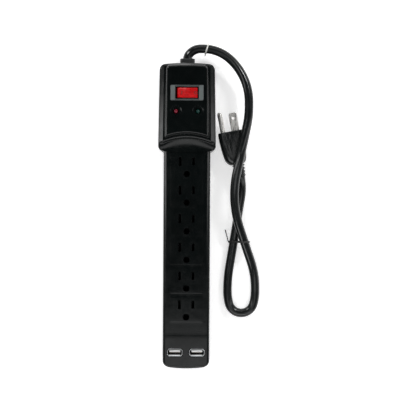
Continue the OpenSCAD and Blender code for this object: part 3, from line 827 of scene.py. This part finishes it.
def keyhole_cutter(y):
    """A round hole for the screw's head and a slot towards the head end for its shank."""
    low, high = -1.0, WALL + 1.0
    round_hole = [(x, y + dy) for x, dy in circle(4.25, 40)]
    slot = [(2.1, y), (2.1, y + 8)]
    slot += [(2.1 * math.cos(a), y + 8 + 2.1 * math.sin(a))
             for a in (math.pi * i / 12 for i in range(1, 12))]
    slot += [(-2.1, y + 8), (-2.1, y)]
    return [prism("keyhole", [(round_hole, low), (round_hole, high)]),
            prism("keyslot", [(slot, low), (slot, high)])]


def case_inside():
    """Screw posts, taller posts for the surge board, and the ribs that carry the bus bars."""
    posts = [(x, y, POST_R, CASE_TOP - 0.3) for x, y in SCREWS]
    posts += [(x, LED_LEFT.y + dy, 2.0, case_high.z) for x in (-17, 17) for dy in (-28, 4)]
    pieces = [lathe("post", [(0, 1.2), (radius, 1.2), (radius, top), (0, top)], (x, y, 0))
              for x, y, radius, top in posts]
    low, high = 4.0, STRIP_HALF - 1
    rib = rounded_rect(high - low, 1.6, 0.2, 2)
    for i in range(OUTLETS):
        for side in (-1, 1):
            at = (side * (low + high) / 2, outlet_y(i), 0)
            pieces.append(prism("rib", [(rib, 1.2), (rib, bus_low.z)], at))
    return pieces


def bottom_case():
    """The lower shell: drafted walls, rounded lower edge, screw posts and keyholes."""
    base = outline_rows()
    levels = []
    for i in range(6):
        a = math.pi / 2 * (1 - i / 5)
        levels.append((shrunk(base, DRAFT + EDGE_BELOW * (1 - math.cos(a))),
                       EDGE_BELOW * (1 - math.sin(a))))
    levels += [(shrunk(base, 0.2), 8.0), (base, CASE_TOP - SEAM_V)]
    levels += [(shrunk(base, SEAM_V), CASE_TOP), (shrunk(base, CASE_WALL), CASE_TOP)]
    levels += [(shrunk(base, CASE_WALL), CASE_WALL + 1), (shrunk(base, CASE_WALL + 1), CASE_WALL)]
    shell = prism("bottom_case_shell", levels)
    cut(shell, join("case_inside", case_inside()), operation="UNION")
    holes = [lathe("hole", [(0, -1), (2.9, -1), (2.9, 8), (1.7, 8), (1.7, CASE_TOP), (0, CASE_TOP)],
                   (x, y, 0)) for x, y in SCREWS]
    cut(shell, join("holes", holes), boot_cutter())
    for y in KEYHOLES:
        cut(shell, *keyhole_cutter(y))
    return dress(shell, HOUSING, "housing", ["bottom_case"])


# ------------------------------------------------------------------ switch and lamps


def bezel():
    """The switch's flange, with a raised pad on each side and a dark well."""
    top = BEZEL_TOP
    outline = rounded_rect(BEZEL_L, BEZEL_W, 1.2, 4)
    hole = rounded_rect(OPEN_L, OPEN_W, 0.4, 3)
    plate = prism("switch_bezel", [(outline, HEAD_H + 0.05), (outline, top - 0.75),
                                   (inset(outline, 0.35), top - 0.4)],
                  SWITCH_AT)
    cut(plate, prism("hole", [(hole, 20), (hole, top - 0.65), (inset(hole, -0.4), top - 0.2),
                              (inset(hole, -0.4), top + 1)], SWITCH_AT))
    # The flange plate takes the darker grey, as painted shade round the raised pads.
    dress(bevel(plate, 0.12), BEZEL_SHADED, "housing", ["switch_frame"])
    side_w = (BEZEL_L - OPEN_L) / 2 - 0.9
    pads = []
    for side in (-1, 1):
        pad = rounded_rect(side_w, BEZEL_W - 0.9, 0.8, 4)
        at = (SWITCH.x + side * (OPEN_L / 2 + 0.45 + side_w / 2), SWITCH.y, 0)
        pads.append(prism("pad", [(pad, top - 0.6), (pad, top - 0.25), (inset(pad, 0.25), top)],
                          at))
    dress(join("switch_bezel_pads", pads), BEZEL, "housing")
    body = prism("switch_well", [(rounded_rect(OPEN_L + 4, OPEN_W + 1.7, 0.4, 2), WELL_FLOOR),
                                 (rounded_rect(OPEN_L + 4, OPEN_W + 1.7, 0.4, 2), HEAD_H + 0.04)],
                 SWITCH_AT)
    inner = prism("inner", [(hole, WELL_FLOOR + 1.6), (hole, HEAD_H + 2)], SWITCH_AT)
    bearing = lathe("bearing", [(1.25, -10), (1.25, 10)], tuple(PIVOT), "Y")
    cut(body, inner, bearing)
    brows = []
    for side in (-1, 1):
        brow = rounded_rect(3.4, 0.8, 0.15, 2)
        at = (SWITCH.x, SWITCH.y + side * (OPEN_W / 2 - 0.3), 0)
        brows.append(prism("brow", [(brow, PIVOT.z + 1.35), (brow, HEAD_H - 0.3)], at))
    dress(join("switch_well", [body] + brows), HOUSING, "housing")


def on_rocker(obj):
    """Tilts a piece modelled about the pivot to where the rocker rests."""
    tilt = Matrix.Translation(PIVOT * MM) @ Matrix.Rotation(math.radians(ROCKER_REST), 4, "Y")
    obj.data.transform(tilt)
    return obj


def rocker_crown(x):
    """Height of the rocker's dished face above its pivot."""
    return 3.2 + 1.7 * (x / ROCKER_HALF) ** 2


def rocker():
    """Red translucent rocker with a dished face, rolled ends and trunnions."""
    half, w = ROCKER_HALF, ROCKER_W / 2
    profile = [(-half, -2.0), (half, -2.0), (half, 3.9), (half - 0.25, 4.35), (half - 0.7, 4.6)]
    profile += [(x, rocker_crown(x)) for x in (8.2, 6.5, 4.8, 3.2, 1.6, 0, -1.6, -3.2, -4.8, -6.4)]
    profile += [(-7.4, 4.12), (-8.0, 4.05), (-9.0, 3.3), (-half + 0.1, 2.2)]
    rings = []
    for y, shrink in ((-w, 0.35), (-w + 0.12, 0.12), (-w + 0.4, 0.0), (w - 0.4, 0.0),
                      (w - 0.12, 0.12), (w, 0.35)):
        rings.append([(x * (1 - shrink / half), y, z - shrink * (1 if z > 0 else -1))
                      for x, z in profile])
    body = loft("rocker_cap", rings)
    hollow = loft("hollow", [[(-half + 1.4, y, -3), (half - 1.4, y, -3), (half - 1.4, y, 2.0),
                              (-half + 1.4, y, 2.0)] for y in (-w + 1.4, w - 1.4)])
    cut(body, hollow)
    axle = lathe("axle", [(0.9, -OPEN_W / 2 - 0.75), (1.2, -OPEN_W / 2 - 0.5),
                          (1.2, OPEN_W / 2 + 0.5), (0.9, OPEN_W / 2 + 0.75)], (0, 0, 0), "Y", 24)
    socket = lathe("socket", [(1.6, -4.6), (2.4, -4.6), (2.4, 2.2), (1.6, 2.2)], (0, 0, 0))
    body = join("rocker_cap", [body, axle, socket])
    dress(on_rocker(body), ROCKER_RED, "rocker", ["rocker"])


def rocker_marks():
    """The on bar and the off ring, inlaid in the rocker's face."""
    def drape(points):
        return [(x, y, rocker_crown(x) + z) for x, y, z in points]

    parts = []
    bar = [(x - 5.6, y) for x, y in rounded_rect(0.75, 3.6, 0.3, 3)]
    rings = [drape([(x, y, z) for x, y in bar]) for z in (-0.3, 0.05)]
    parts.append(loft("bar", rings))
    outer, inner = circle(1.55, 32), circle(0.95, 32)
    rings = [drape([(x + 7.6, y, z) for x, y in ring])
             for ring, z in ((inner, -0.3), (outer, -0.3), (outer, 0.05), (inner, 0.05))]
    parts.append(closed_band("ring", rings))
    dress(on_rocker(join("rocker_marks", parts)), MARK, "rocker")


def lamp(name, node, lens_material, lens_slot):
    """One indicator: domed lens, its flange, and a metal cup and post seen inside."""
    low, high = cad(node)
    x, y, top = (low.x + high.x) / 2, (low.y + high.y) / 2, high.z
    dome = [(1.9 * math.cos(math.pi / 2 * i / 8), top - 1.9 + 1.9 * math.sin(math.pi / 2 * i / 8))
            for i in range(8)]
    profile = [(0, top - 7.0), (2.25, top - 7.0), (2.25, top - 6.2), (1.9, top - 6.1)] + dome
    profile.append((0.02, top))
    dress(lathe(name + "_lens", profile, (x, y, 0), count=32), lens_material, "housing",
          [node])
    cup = lathe("cup", [(0.2, top - 4.2), (0.8, top - 4.2), (0.95, top - 2.9), (0.75, top - 2.9),
                        (0.5, top - 3.4), (0.05, top - 3.4)], (x - 0.3, y, 0), count=20)
    post = prism("post", [(rounded_rect(0.5, 0.5, 0.1, 2), top - 4.4),
                          (rounded_rect(0.5, 0.5, 0.1, 2), top - 3.0)], (x + 1.0, y, 0))
    legs = [lathe("leg", [(0.25, low.z), (0.25, top - 4.3)], (x + dx, y, 0), count=12)
            for dx in (-0.65, 0.65)]
    dress(join(name + "_frame", [cup, post] + legs), NICKEL, "housing")


# ------------------------------------------------------------------ USB ports


def usb_shell(x):
    """A folded shell with a rolled mouth and two latch holes, and the spring strip in it."""
    low, high = cad("usb_shells")
    at = (x, USB_Y, 0)
    outer, inner = usb_outline(0, 1.6), usb_outline(-0.45, 1.45)
    mouth = inset(inner, -0.28)
    shell = prism("shell", [(outer, low.z), (outer, high.z - 0.35), (inset(outer, 0.12), high.z)],
                  at)
    hollow = prism("hollow", [(inner, low.z + 0.5), (inner, high.z - 0.8),
                              (mouth, high.z + 0.01), (mouth, high.z + 2)], at)
    window = rounded_rect(2.4, 1.2, 0.3, 2)
    latches = [prism("latch", [(window, low.z + 4), (window, low.z + 8)],
                     (x + dx, USB_Y - USB_H / 2, 0)) for dx in (-3.2, 3.2)]
    strip = rounded_rect(10.6, 0.9, 0.2, 2)
    spring = prism("spring", [(strip, high.z - 3.2), (strip, high.z - 0.5),
                              (inset(strip, 0.2), high.z - 0.15)],
                   (x, USB_Y - USB_H / 2 + 0.9, 0))
    return [bevel(cut(shell, hollow, join("latches", latches)), 0.08), spring]


def usb_tongue(x):
    low, high = cad("usb_tongues")
    outline = rounded_rect(USB_TONGUE_W, high.y - low.y, 0.25, 3)
    return prism("tongue", [(outline, low.z), (outline, high.z - 0.5),
                            (inset(outline, 0.4), high.z)], (x, (low.y + high.y) / 2, 0))


def usb_contacts(x):
    """Four flat contacts on the tongue."""
    low, high = cad("usb_contacts")
    strip = rounded_rect(1.0, high.y - low.y, 0.1, 2)
    levels = [(strip, low.z), (strip, high.z - 1), (inset(strip, 0.1), high.z)]
    return [prism("contact", levels, (x + (i - 1.5) * 2.3, (low.y + high.y) / 2, 0))
            for i in range(4)]


def usb_ports():
    shells, tongues, contacts = [], [], []
    for x in (-USB_X, USB_X):
        shells += usb_shell(x)
        tongues.append(usb_tongue(x))
        contacts += usb_contacts(x)
    dress(join("usb_port_shells", shells), SHELL, "housing", ["usb_shells"])
    dress(join("usb_port_tongues", tongues), TONGUE, "housing", ["usb_tongues"])
    dress(join("usb_port_contacts", contacts), GOLD, "housing", ["usb_contacts"])


# ------------------------------------------------------------------ cord

# The bent cord from the boot's mouth: (length, 0) is a straight, (radius, turn) an arc to the
# left for a positive turn, in degrees
CORD_STEPS = [(7.5, -40), (14, -50), (2.5, 0), (38.4, -45), (57, -45), (4, 0), (90, -12),
              (44, 0), (103, 31), (32.5, 0), (80, -19), (3, 0), (50, -14), (12.15, -152),
              (50, -14), (150, -9), (66.46, 0), (60, 19.7)]
TIE_STRAIGHTS = (9, 16)
STRAP_ARC, STRAP_PART, STRAP_LEAN = 3, 0.12, 13
# Height of the cord's centre at distances along it
PLUG_Z = (cad("line_blade")[1].z + cad("neutral_blade")[0].z) / 2
CORD_HEIGHTS = [(0, CORD_Z), (70, 20), (138, 27.4), (170, 24.8), (205, 18.2), (231, 12.2),
                (262, 6.2), (288, CORD_R + 0.3), (341, CORD_R + 0.3), (386, 6.2), (410, 8.6),
                (446, PLUG_Z)]
PLUG_L, RELIEF_L, RELIEF_X = 32.0, 12.5, 2.0
BLADE_X, PIN_X = 5.0, -6.9
BLADE_Z, NEUTRAL_BLADE, LINE_BLADE = 6.35, 7.8, 6.35


def cord_height(d):
    """Smooth height at a distance along the cord."""
    def slope(k):
        if k in (0, len(CORD_HEIGHTS) - 1):
            return 0.0
        before, after = CORD_HEIGHTS[k - 1], CORD_HEIGHTS[k + 1]
        return (after[1] - before[1]) / (after[0] - before[0])

    k = 0
    while k < len(CORD_HEIGHTS) - 2 and d > CORD_HEIGHTS[k + 1][0]:
        k += 1
    (d0, z0), (d1, z1) = CORD_HEIGHTS[k], CORD_HEIGHTS[k + 1]
    length = d1 - d0
    t = min(1.0, max(0.0, (d - d0) / length))
    u = 1 - t
    return (z0 * (1 + 2 * t) * u * u + z1 * t * t * (3 - 2 * t)
            + length * t * u * (slope(k) * u - slope(k + 1) * t))


def cord_step(state, step, part):
    """The place, heading and distance after going a part of one step."""
    x, y, heading, d = state
    size, turn = step
    if turn == 0:
        run = size * part
        return (x + run * math.cos(heading), y + run * math.sin(heading), heading, d + run)
    side = 1 if turn > 0 else -1
    cx = x - side * size * math.sin(heading)
    cy = y + side * size * math.cos(heading)
    new = heading + math.radians(turn) * part
    return (cx + side * size * math.sin(new), cy - side * size * math.cos(new), new,
            d + size * abs(math.radians(turn)) * part)


def cord_states():
    """The state at the start of each step, and at the end."""
    states = [(0.0, BOOT_Y, math.pi / 2, 0.0)]
    for step in CORD_STEPS:
        states.append(cord_step(states[-1], step, 1))
    return states


STATES = cord_states()


def cord_stations():
    stations = []
    for state, step in zip(STATES, CORD_STEPS):
        arc = abs(math.radians(step[1]))
        length = step[0] if arc == 0 else step[0] * arc
        count = math.ceil(max(length / 2.4, math.degrees(arc) / 6))
        for i in range(count):
            stations.append(cord_step(state, step, i / count))
    stations.append(STATES[-1])
    return stations


def on_cord(state):
    x, y, _, d = state
    return Vector((x, y, cord_height(d)))


def cord_ring(place, along, radius, turn=0.0, lobes=0.0, count=24):
    """A ring square to the cord, with three faint lobes where the cores press through."""
    side = Vector((along.y, -along.x, 0)).normalized()
    up = side.cross(along).normalized()
    ring = []
    for i in range(count):
        a = 2 * math.pi * i / count
        r = radius * (1 - lobes * (1 - math.cos(3 * a + turn)) / 2)
        ring.append(tuple(place + side * (r * math.cos(a)) + up * (r * math.sin(a))))
    return ring


def cord():
    """One skin from the clamp inside the housing, through the boot and on to the plug."""
    root_low = cad("cord_root")[0]
    places = []
    y = root_low.y
    while y < BOOT_Y - 1:
        places.append(Vector((0, y, CORD_Z)))
        y += 3.0
    places += [on_cord(s) for s in cord_stations()]
    end = places[-1] - places[-2]
    places.append(places[-1] + end.normalized() * 2.5)
    rings = []
    run = 0.0
    for i, place in enumerate(places):
        a, b = places[max(i - 1, 0)], places[min(i + 1, len(places) - 1)]
        run += (place - places[max(i - 1, 0)]).length
        rings.append(cord_ring(place, (b - a).normalized(), CORD_R, run / 11.0, 0.022))
    skin = loft("cord", rings, sharp=60)
    skin.data.materials.clear()
    skin.data.materials.append(CORD)
    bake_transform(skin)
    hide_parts("cord_root", "cord_jacket")


def boot():
    """The square rubber block round the cord, with a flared mouth and a neck in the wall."""
    outline = [(0.05, 13.4, 1.8), (0.35, 14.0, 2.0), (3.9, 14.0, 2.0), (4.5, 13.7, 2.0),
               (4.85, 13.0, 2.2), (5.0, 12.3, 2.2)]
    block = loft("boot_block", [end_ring(y, size, radius, 5) for y, size, radius in outline])
    neck = loft("neck", [end_ring(y, 10.9, 0.6, 2) for y in (-4, 0.6)])
    cut(block, neck, operation="UNION")
    bore = lathe("bore", [(CORD_R + 0.05, -10), (CORD_R + 0.05, 2.4), (CORD_R + 0.25, 3.1),
                          (CORD_R + 0.7, 3.9), (CORD_R + 1.4, 4.9), (CORD_R + 1.6, 6)],
                 (0, TOP_Y, CORD_Z), "Y")
    cut(block, bore)
    dress(block, BOOT, "housing", ["cord_boot"])


# ------------------------------------------------------------------ plug


def at_plug():
    """Frame of the plug: origin in its face, +Y out along the blades."""
    x, y, heading, _ = STATES[-1]
    turn = heading - math.pi / 2
    shift = Matrix.Translation(Vector((-RELIEF_X, PLUG_L + RELIEF_L, 0)) * MM)
    place = Matrix.Translation(Vector((x, y, PLUG_Z)) * MM)
    return place @ Matrix.Rotation(turn, 4, "Z") @ shift


def seat(obj):
    obj.data.transform(at_plug())
    return obj


# Stations of the plug's body: distance behind the face, width, thickness, corner, sideways
PLUG_SECTIONS = [(0.0, 22.6, 20.6, 4.2, 0.0), (0.25, 23.4, 21.4, 4.2, 0.0),
                 (0.8, 23.9, 21.9, 4.2, 0.0), (3.0, 24.0, 22.0, 4.4, 0.0),
                 (8.0, 24.0, 21.9, 5.0, 0.0), (12.0, 23.7, 21.2, 5.4, 0.1),
                 (16.0, 23.3, 20.2, 5.8, 0.2), (20.0, 22.7, 19.0, 6.2, 0.3),
                 (24.0, 21.9, 17.8, 6.6, 0.4), (27.0, 20.6, 16.6, 6.8, 0.5),
                 (29.0, 18.8, 15.6, 6.6, 0.7), (30.6, 16.6, 14.2, 6.2, 0.9),
                 (31.5, 14.6, 12.8, 5.6, 1.0), (32.0, 12.4, 11.2, 5.0, 1.0)]


def grip(x, y, z):
    """Moulded relief of the plug's two broad faces: a groove with a lip, and a sunk panel."""
    if abs(z) < 5:
        return z
    side = 1 if z > 0 else -1
    fade = smooth_step((-y - 1.2) / 1.5) * smooth_step((y + 21) / 6)
    groove = max(0.0, 1 - ((x + 1.7) / 0.75) ** 2) * 0.75
    lip = 0.3 * smooth_step((-2.3 - x) / 0.4) * smooth_step((x + 5.4) / 0.5)
    panel = 0.55 * smooth_step((-4.6 - x) / 1.6)
    fall = 0.06 * max(0.0, x - 1.0)
    return z - side * fade * (groove - lip + panel + fall)


def plug_body():
    rings = []
    for back, width, thick, corner, shift in PLUG_SECTIONS:
        outline = rounded_rect(width, thick, corner, 7)
        dense = []
        for i, (x, z) in enumerate(outline):
            nx, nz = outline[(i + 1) % len(outline)]
            steps = 28 if i in (7, 23) else 1
            dense += [(x + (nx - x) * k / steps, z + (nz - z) * k / steps) for k in range(steps)]
        rings.append([(x + shift, -back, grip(x + shift, -back, z)) for x, z in dense])
    body = loft("plug_moulding", rings)
    holes = []
    for z, width in ((BLADE_Z, NEUTRAL_BLADE), (-BLADE_Z, LINE_BLADE)):
        outline = rounded_rect(width + 0.1, 1.6, 0.1, 2)
        holes.append(loft("hole", [[(BLADE_X + x, y, z + dz) for x, dz in outline]
                                   for y in (-6, 1)]))
    holes.append(lathe("pin_hole", [(2.45, -6), (2.45, 1)], (PIN_X, 0, 0), "Y"))
    cut(body, join("holes", holes))
    bore = lathe("bore", [(CORD_R + 0.02, -50), (CORD_R + 0.02, -PLUG_L + 2)],
                 (RELIEF_X, 0, 0), "Y")
    profile = [(CORD_R + 0.05, -PLUG_L - RELIEF_L + 0.1)]
    rib = RELIEF_L / 4
    for i in range(4):
        y = -PLUG_L - RELIEF_L + rib * i
        r = 5.25 + 0.24 * i
        profile += [(CORD_R + 0.55, y + 0.3), (CORD_R + 0.7, y + 0.9), (r - 0.25, y + 1.05),
                    (r, y + 1.3), (r, y + 2.4), (r - 0.25, y + 2.65), (CORD_R + 0.75, y + 2.8)]
    profile += [(CORD_R + 1.0, -PLUG_L + 1), (CORD_R + 0.05, -PLUG_L + 1.5)]
    relief = lathe("relief", profile, (RELIEF_X, 0, 0), "Y", 40)
    body = join("plug_moulding", [cut(body, bore), relief])
    dress(seat(body), PLUG, "cord", ["plug_body"])


def blade(name, node, width, z):
    """A flat blade with rounded corners, broken edges and a detent hole."""
    tip, corner, thick = 17.3, 2.2, 1.5
    outline = [(-width / 2, -5.9), (width / 2, -5.9)]
    for cx, start in ((width / 2 - corner, 0), (-width / 2 + corner, math.pi / 2)):
        outline += [(cx + corner * math.cos(start + math.pi / 2 * i / 8),
                     tip - corner + corner * math.sin(start + math.pi / 2 * i / 8))
                    for i in range(9)]
    levels = [(inset(outline, 0.2), -thick / 2), (outline, -thick / 2 + 0.2),
              (outline, thick / 2 - 0.2), (inset(outline, 0.2), thick / 2)]
    body = prism(name, levels, (BLADE_X, 0, z))
    hole = lathe("hole", [(1.8, -2), (1.8, -0.7), (1.6, -0.5), (1.6, 0.5), (1.8, 0.7), (1.8, 2)],
                 (BLADE_X, 12.4, z), count=32)
    cut(body, hole)
    dress(seat(body), NICKEL, "cord", [node])


def ground_pin():
    profile = [(0.05, -5.9), (2.4, -5.9), (2.4, 16.6)]
    for i in range(7):
        a = math.pi / 2 * i / 6
        profile.append((0.9 + 1.5 * math.cos(a), 17.6 + 2.3 * math.sin(a)))
    profile.append((0.05, 19.95))
    pin = lathe("plug_pin", profile, (PIN_X, 0, 0), "Y", 36)
    dress(seat(pin), NICKEL, "cord", ["ground_pin"])


# ------------------------------------------------------------------ ties


def stadium(a, b, radius, count=40):
    """Outline of a band pulled tight round two strands, as (x, z)."""
    along = (b - a).normalized()
    points = []
    half = count // 2
    for middle, start in ((b, -math.pi / 2), (a, math.pi / 2)):
        for i in range(half):
            t = start + math.pi * i / (half - 1)
            points.append(middle + radius * (along * math.cos(t)
                                             + Vector((-along.y, along.x)) * math.sin(t)))
    return points


def tie_crossings():
    found = []
    for k in TIE_STRAIGHTS:
        state = STATES[k]
        go = (TIE_Y - state[1]) / math.sin(state[2])
        point = cord_step(state, (abs(go), 0), 1 if go > 0 else -1)
        found.append(Vector((point[0], cord_height(point[3]))))
    return found


def tube(points, radius, count=12):
    """A round wire along points."""
    rings = []
    places = [Vector(p) for p in points]
    for i, place in enumerate(places):
        along = (places[min(i + 1, len(places) - 1)] - places[max(i - 1, 0)]).normalized()
        side = along.cross(Vector((0.2, 0.1, 1))).normalized()
        up = side.cross(along)
        rings.append([tuple(place + side * (radius * math.cos(2 * math.pi * j / count))
                            + up * (radius * math.sin(2 * math.pi * j / count)))
                      for j in range(count)])
    return loft("tube", rings, sharp=50)


def twist_tie():
    """A paper-thin ribbon with a wire core, its ends twisted together into a tail."""
    right, left = tie_crossings()
    core = stadium(left, right, CORD_R + TIE_GAP + 0.25)
    count = len(core)
    outward = []
    for i in range(count):
        step = core[(i + 1) % count] - core[i - 1]
        outward.append(Vector((step.y, 0, -step.x)).normalized())
    section = [(-0.95, -0.12), (-0.8, 0.0), (-0.3, 0.0), (-0.15, 0.22), (0.15, 0.22), (0.3, 0.0),
               (0.8, 0.0), (0.95, -0.12), (0.8, -0.22), (-0.8, -0.22)]
    band = closed_band("band", [[tuple(Vector((p.x, TIE_Y + y, p.y)) + out * grow)
                                 for p, out in zip(core, outward)] for y, grow in section], 40)
    start = Vector((left.x - CORD_R - TIE_GAP - 0.1, TIE_Y, left.y + 0.6))
    end = Vector((left.x - 8.1, TIE_Y + 11.6, left.y + 3.8))
    along = (end - start)
    side = along.cross(Vector((0, 0, 1))).normalized()
    up = side.cross(along.normalized())
    strands = []
    for phase in (0, math.pi):
        path = []
        for i in range(49):
            t = i / 48
            a = phase + 2 * math.pi * 3.5 * t
            spread = 0.32 + 0.5 * max(0.0, t - 0.82)
            path.append(start + along * t + (side * math.cos(a) + up * math.sin(a)) * spread)
        strands.append(tube(path, 0.3, 10))
    dress(join("cord_twist_tie", [band] + strands, 40), TIE, "cord", ["twist_tie"])


def cable_tie():
    """A ribbed nylon strap leaning across the cord, with its head underneath and a cut end."""
    state = cord_step(STATES[STRAP_ARC], CORD_STEPS[STRAP_ARC], STRAP_PART)
    heading = state[2] - math.pi / 2 - math.radians(STRAP_LEAN)
    turn = Matrix.Translation(on_cord(state) * MM) @ Matrix.Rotation(heading, 4, "Z")
    inside = CORD_R + 0.45
    section = [(-0.7, 0.35), (-0.62, 0.6), (-0.45, 0.65), (-0.4, 0.45), (0.4, 0.45), (0.45, 0.65),
               (0.62, 0.6), (0.7, 0.35), (0.7, 0.05), (0.6, 0.0), (-0.6, 0.0), (-0.7, 0.05)]
    count = 72
    loops = []
    for y, r in section:
        loop = []
        for i in range(count):
            a = 2 * math.pi * i / count
            radius = inside + r - (0.12 if r == 0.45 and i % 2 else 0.0)
            loop.append((radius * math.cos(a), y, radius * math.sin(a)))
        loops.append(loop)
    strap = closed_band("strap", loops, 40)
    low = -inside - 2.8
    block = rounded_rect(3.2, 2.8, 0.5, 4)
    head = prism("head", [(inset(block, 0.3), low), (block, low + 0.3), (block, low + 2.4),
                          (inset(block, 0.3), low + 2.7)])
    slot = loft("slot", [[(x, a * 0.9, low + 1.3 + b * 0.6) for a, b in circle(1.0, 12)]
                         for x in (-2.0, 1.0)])
    cut(head, slot)
    end = loft("end", [[(x, y * wide, low + 1.3 + z) for y, z in rounded_rect(1.2, 0.8, 0.15, 2)]
                       for x, wide in ((0.0, 1.0), (CORD_R + 1.4, 1.0), (CORD_R + 2.4, 0.35))])
    tie = join("cord_cable_tie", [strap, head, end], 40)
    tie.data.transform(turn)
    dress(tie, WHITE, "cord", ["cable_tie"])


# ------------------------------------------------------------------ parts carried over from CAD


def carried_over():
    """Inner parts keep their CAD shape and get a material each."""
    looks = {"case_screws": STEEL, "cord_clamp": WHITE, "switch_terminals": BRASS,
             "neon_lamp": GLASS, "plunger": WHITE, "plunger_spring": STEEL,
             "contact_lever": BRASS, "surge_board": BOARD, "varistors": EPOXY,
             "thermal_fuse": CERAMIC, "resistors": CERAMIC, "line_bus": BRASS,
             "neutral_bus": BRASS, "ground_bus": BRASS, "line_lead": LEAD_BLACK,
             "neutral_lead": LEAD_WHITE, "ground_lead": LEAD_GREEN, "switched_lead": LEAD_RED,
             "usb_board": BOARD, "usb_transformer": TAPE, "usb_capacitor": SLEEVE}
    for name, material in looks.items():
        obj = frame["nodes"][name]
        obj.data.materials.clear()
        obj.data.materials.append(material)


# ------------------------------------------------------------------ floor, light, camera


def stage_floor():
    far = 1600.0
    points = [(-far, -far, 0), (far, -far, 0), (far, far, 0), (-far, far, 0)]
    floor = make("floor", points, [(0, 1, 2, 3)])
    mat, tree, shader = nodes_of("floor_white")
    tree.links.new(ramp(tree, noise(tree, 3), 0.93, 0.95), shader.inputs["Base Color"])
    shader.inputs["Roughness"].default_value = 0.9
    shader.inputs["Specular IOR Level"].default_value = 0.1
    shader.inputs["Emission Color"].default_value = (1, 1, 1, 1)
    shader.inputs["Emission Strength"].default_value = 0.52
    floor.data.materials.append(mat)


def softbox(name, place, aim, size, power):
    """A rectangular lamp at a place in metres, turned to face its aim."""
    data = bpy.data.lights.new(name, "AREA")
    data.shape = "RECTANGLE"
    data.size, data.size_y = size
    data.energy = power
    box = bpy.data.objects.new(name, data)
    bpy.context.scene.collection.objects.link(box)
    box.location = place
    box.rotation_euler = (Vector(aim) - Vector(place)).to_track_quat("-Z", "Y").to_euler()


def lights():
    middle, foot = (0.02, 0.0, 0.02), (0, -0.14, 0)
    boxes = [("left_box", (-1.0, 0.1, 0.9), middle, (0.16, 2.0), 3.4),
             ("right_box", (1.0, 0.1, 0.9), middle, (0.16, 2.0), 1.9),
             ("front_box", (0.0, -1.0, 0.9), middle, (2.0, 0.5), 9),
             ("back_box", (0.3, 1.0, 0.9), middle, (1.6, 0.16), 3),
             ("foot_box", (0.0, -0.4, 1.6), foot, (1.4, 0.3), 1.6),
             ("left_spark", (-0.7, 0.8, 0.95), middle, (0.2, 0.2), 4),
             ("right_spark", (0.7, 0.8, 0.95), middle, (0.2, 0.2), 4)]
    for box in boxes:
        softbox(*box)


def studio_world():
    """A pale surround that darkens overhead, so the glossy faces stay black."""
    world = bpy.data.worlds.new("studio")
    world.use_nodes = True
    tree = world.node_tree
    split = add(tree, "ShaderNodeSeparateXYZ")
    coord = add(tree, "ShaderNodeTexCoord")
    tree.links.new(coord.outputs["Generated"], split.inputs["Vector"])
    fade = ramp(tree, split.outputs["Z"], (1.0, 1.0, 1.0, 1), (0.02, 0.022, 0.024, 1), 0.15, 0.97)
    tree.links.new(fade, tree.nodes["Background"].inputs["Color"])
    tree.nodes["Background"].inputs["Strength"].default_value = 0.3
    bpy.context.scene.world = world


def camera():
    data = bpy.data.cameras.new("camera")
    data.lens = 120
    data.sensor_width = 36
    cam = bpy.data.objects.new("camera", data)
    bpy.context.scene.collection.objects.link(cam)
    face = STRIP_H * MM
    cam.location = (0.0203, 0.0076, face + 1.315)
    cam.rotation_euler = (0, 0, math.radians(0.3))
    data.clip_start, data.clip_end = 0.01, 20
    bpy.context.scene.camera = cam
    bpy.context.scene.view_settings.view_transform = "Standard"


top_cover()
bottom_case()
bezel()
rocker()
rocker_marks()
lamp("led_left", "led_red", RED_LENS, "lens_red")
lamp("led_right", "led_green", GREEN_LENS, "lens_green")
usb_ports()
boot()
cord()
plug_body()
blade("plug_neutral_blade", "neutral_blade", NEUTRAL_BLADE, BLADE_Z)
blade("plug_line_blade", "line_blade", LINE_BLADE, -BLADE_Z)
ground_pin()
twist_tie()
cable_tie()
carried_over()
stage_floor()
lights()
studio_world()
camera()
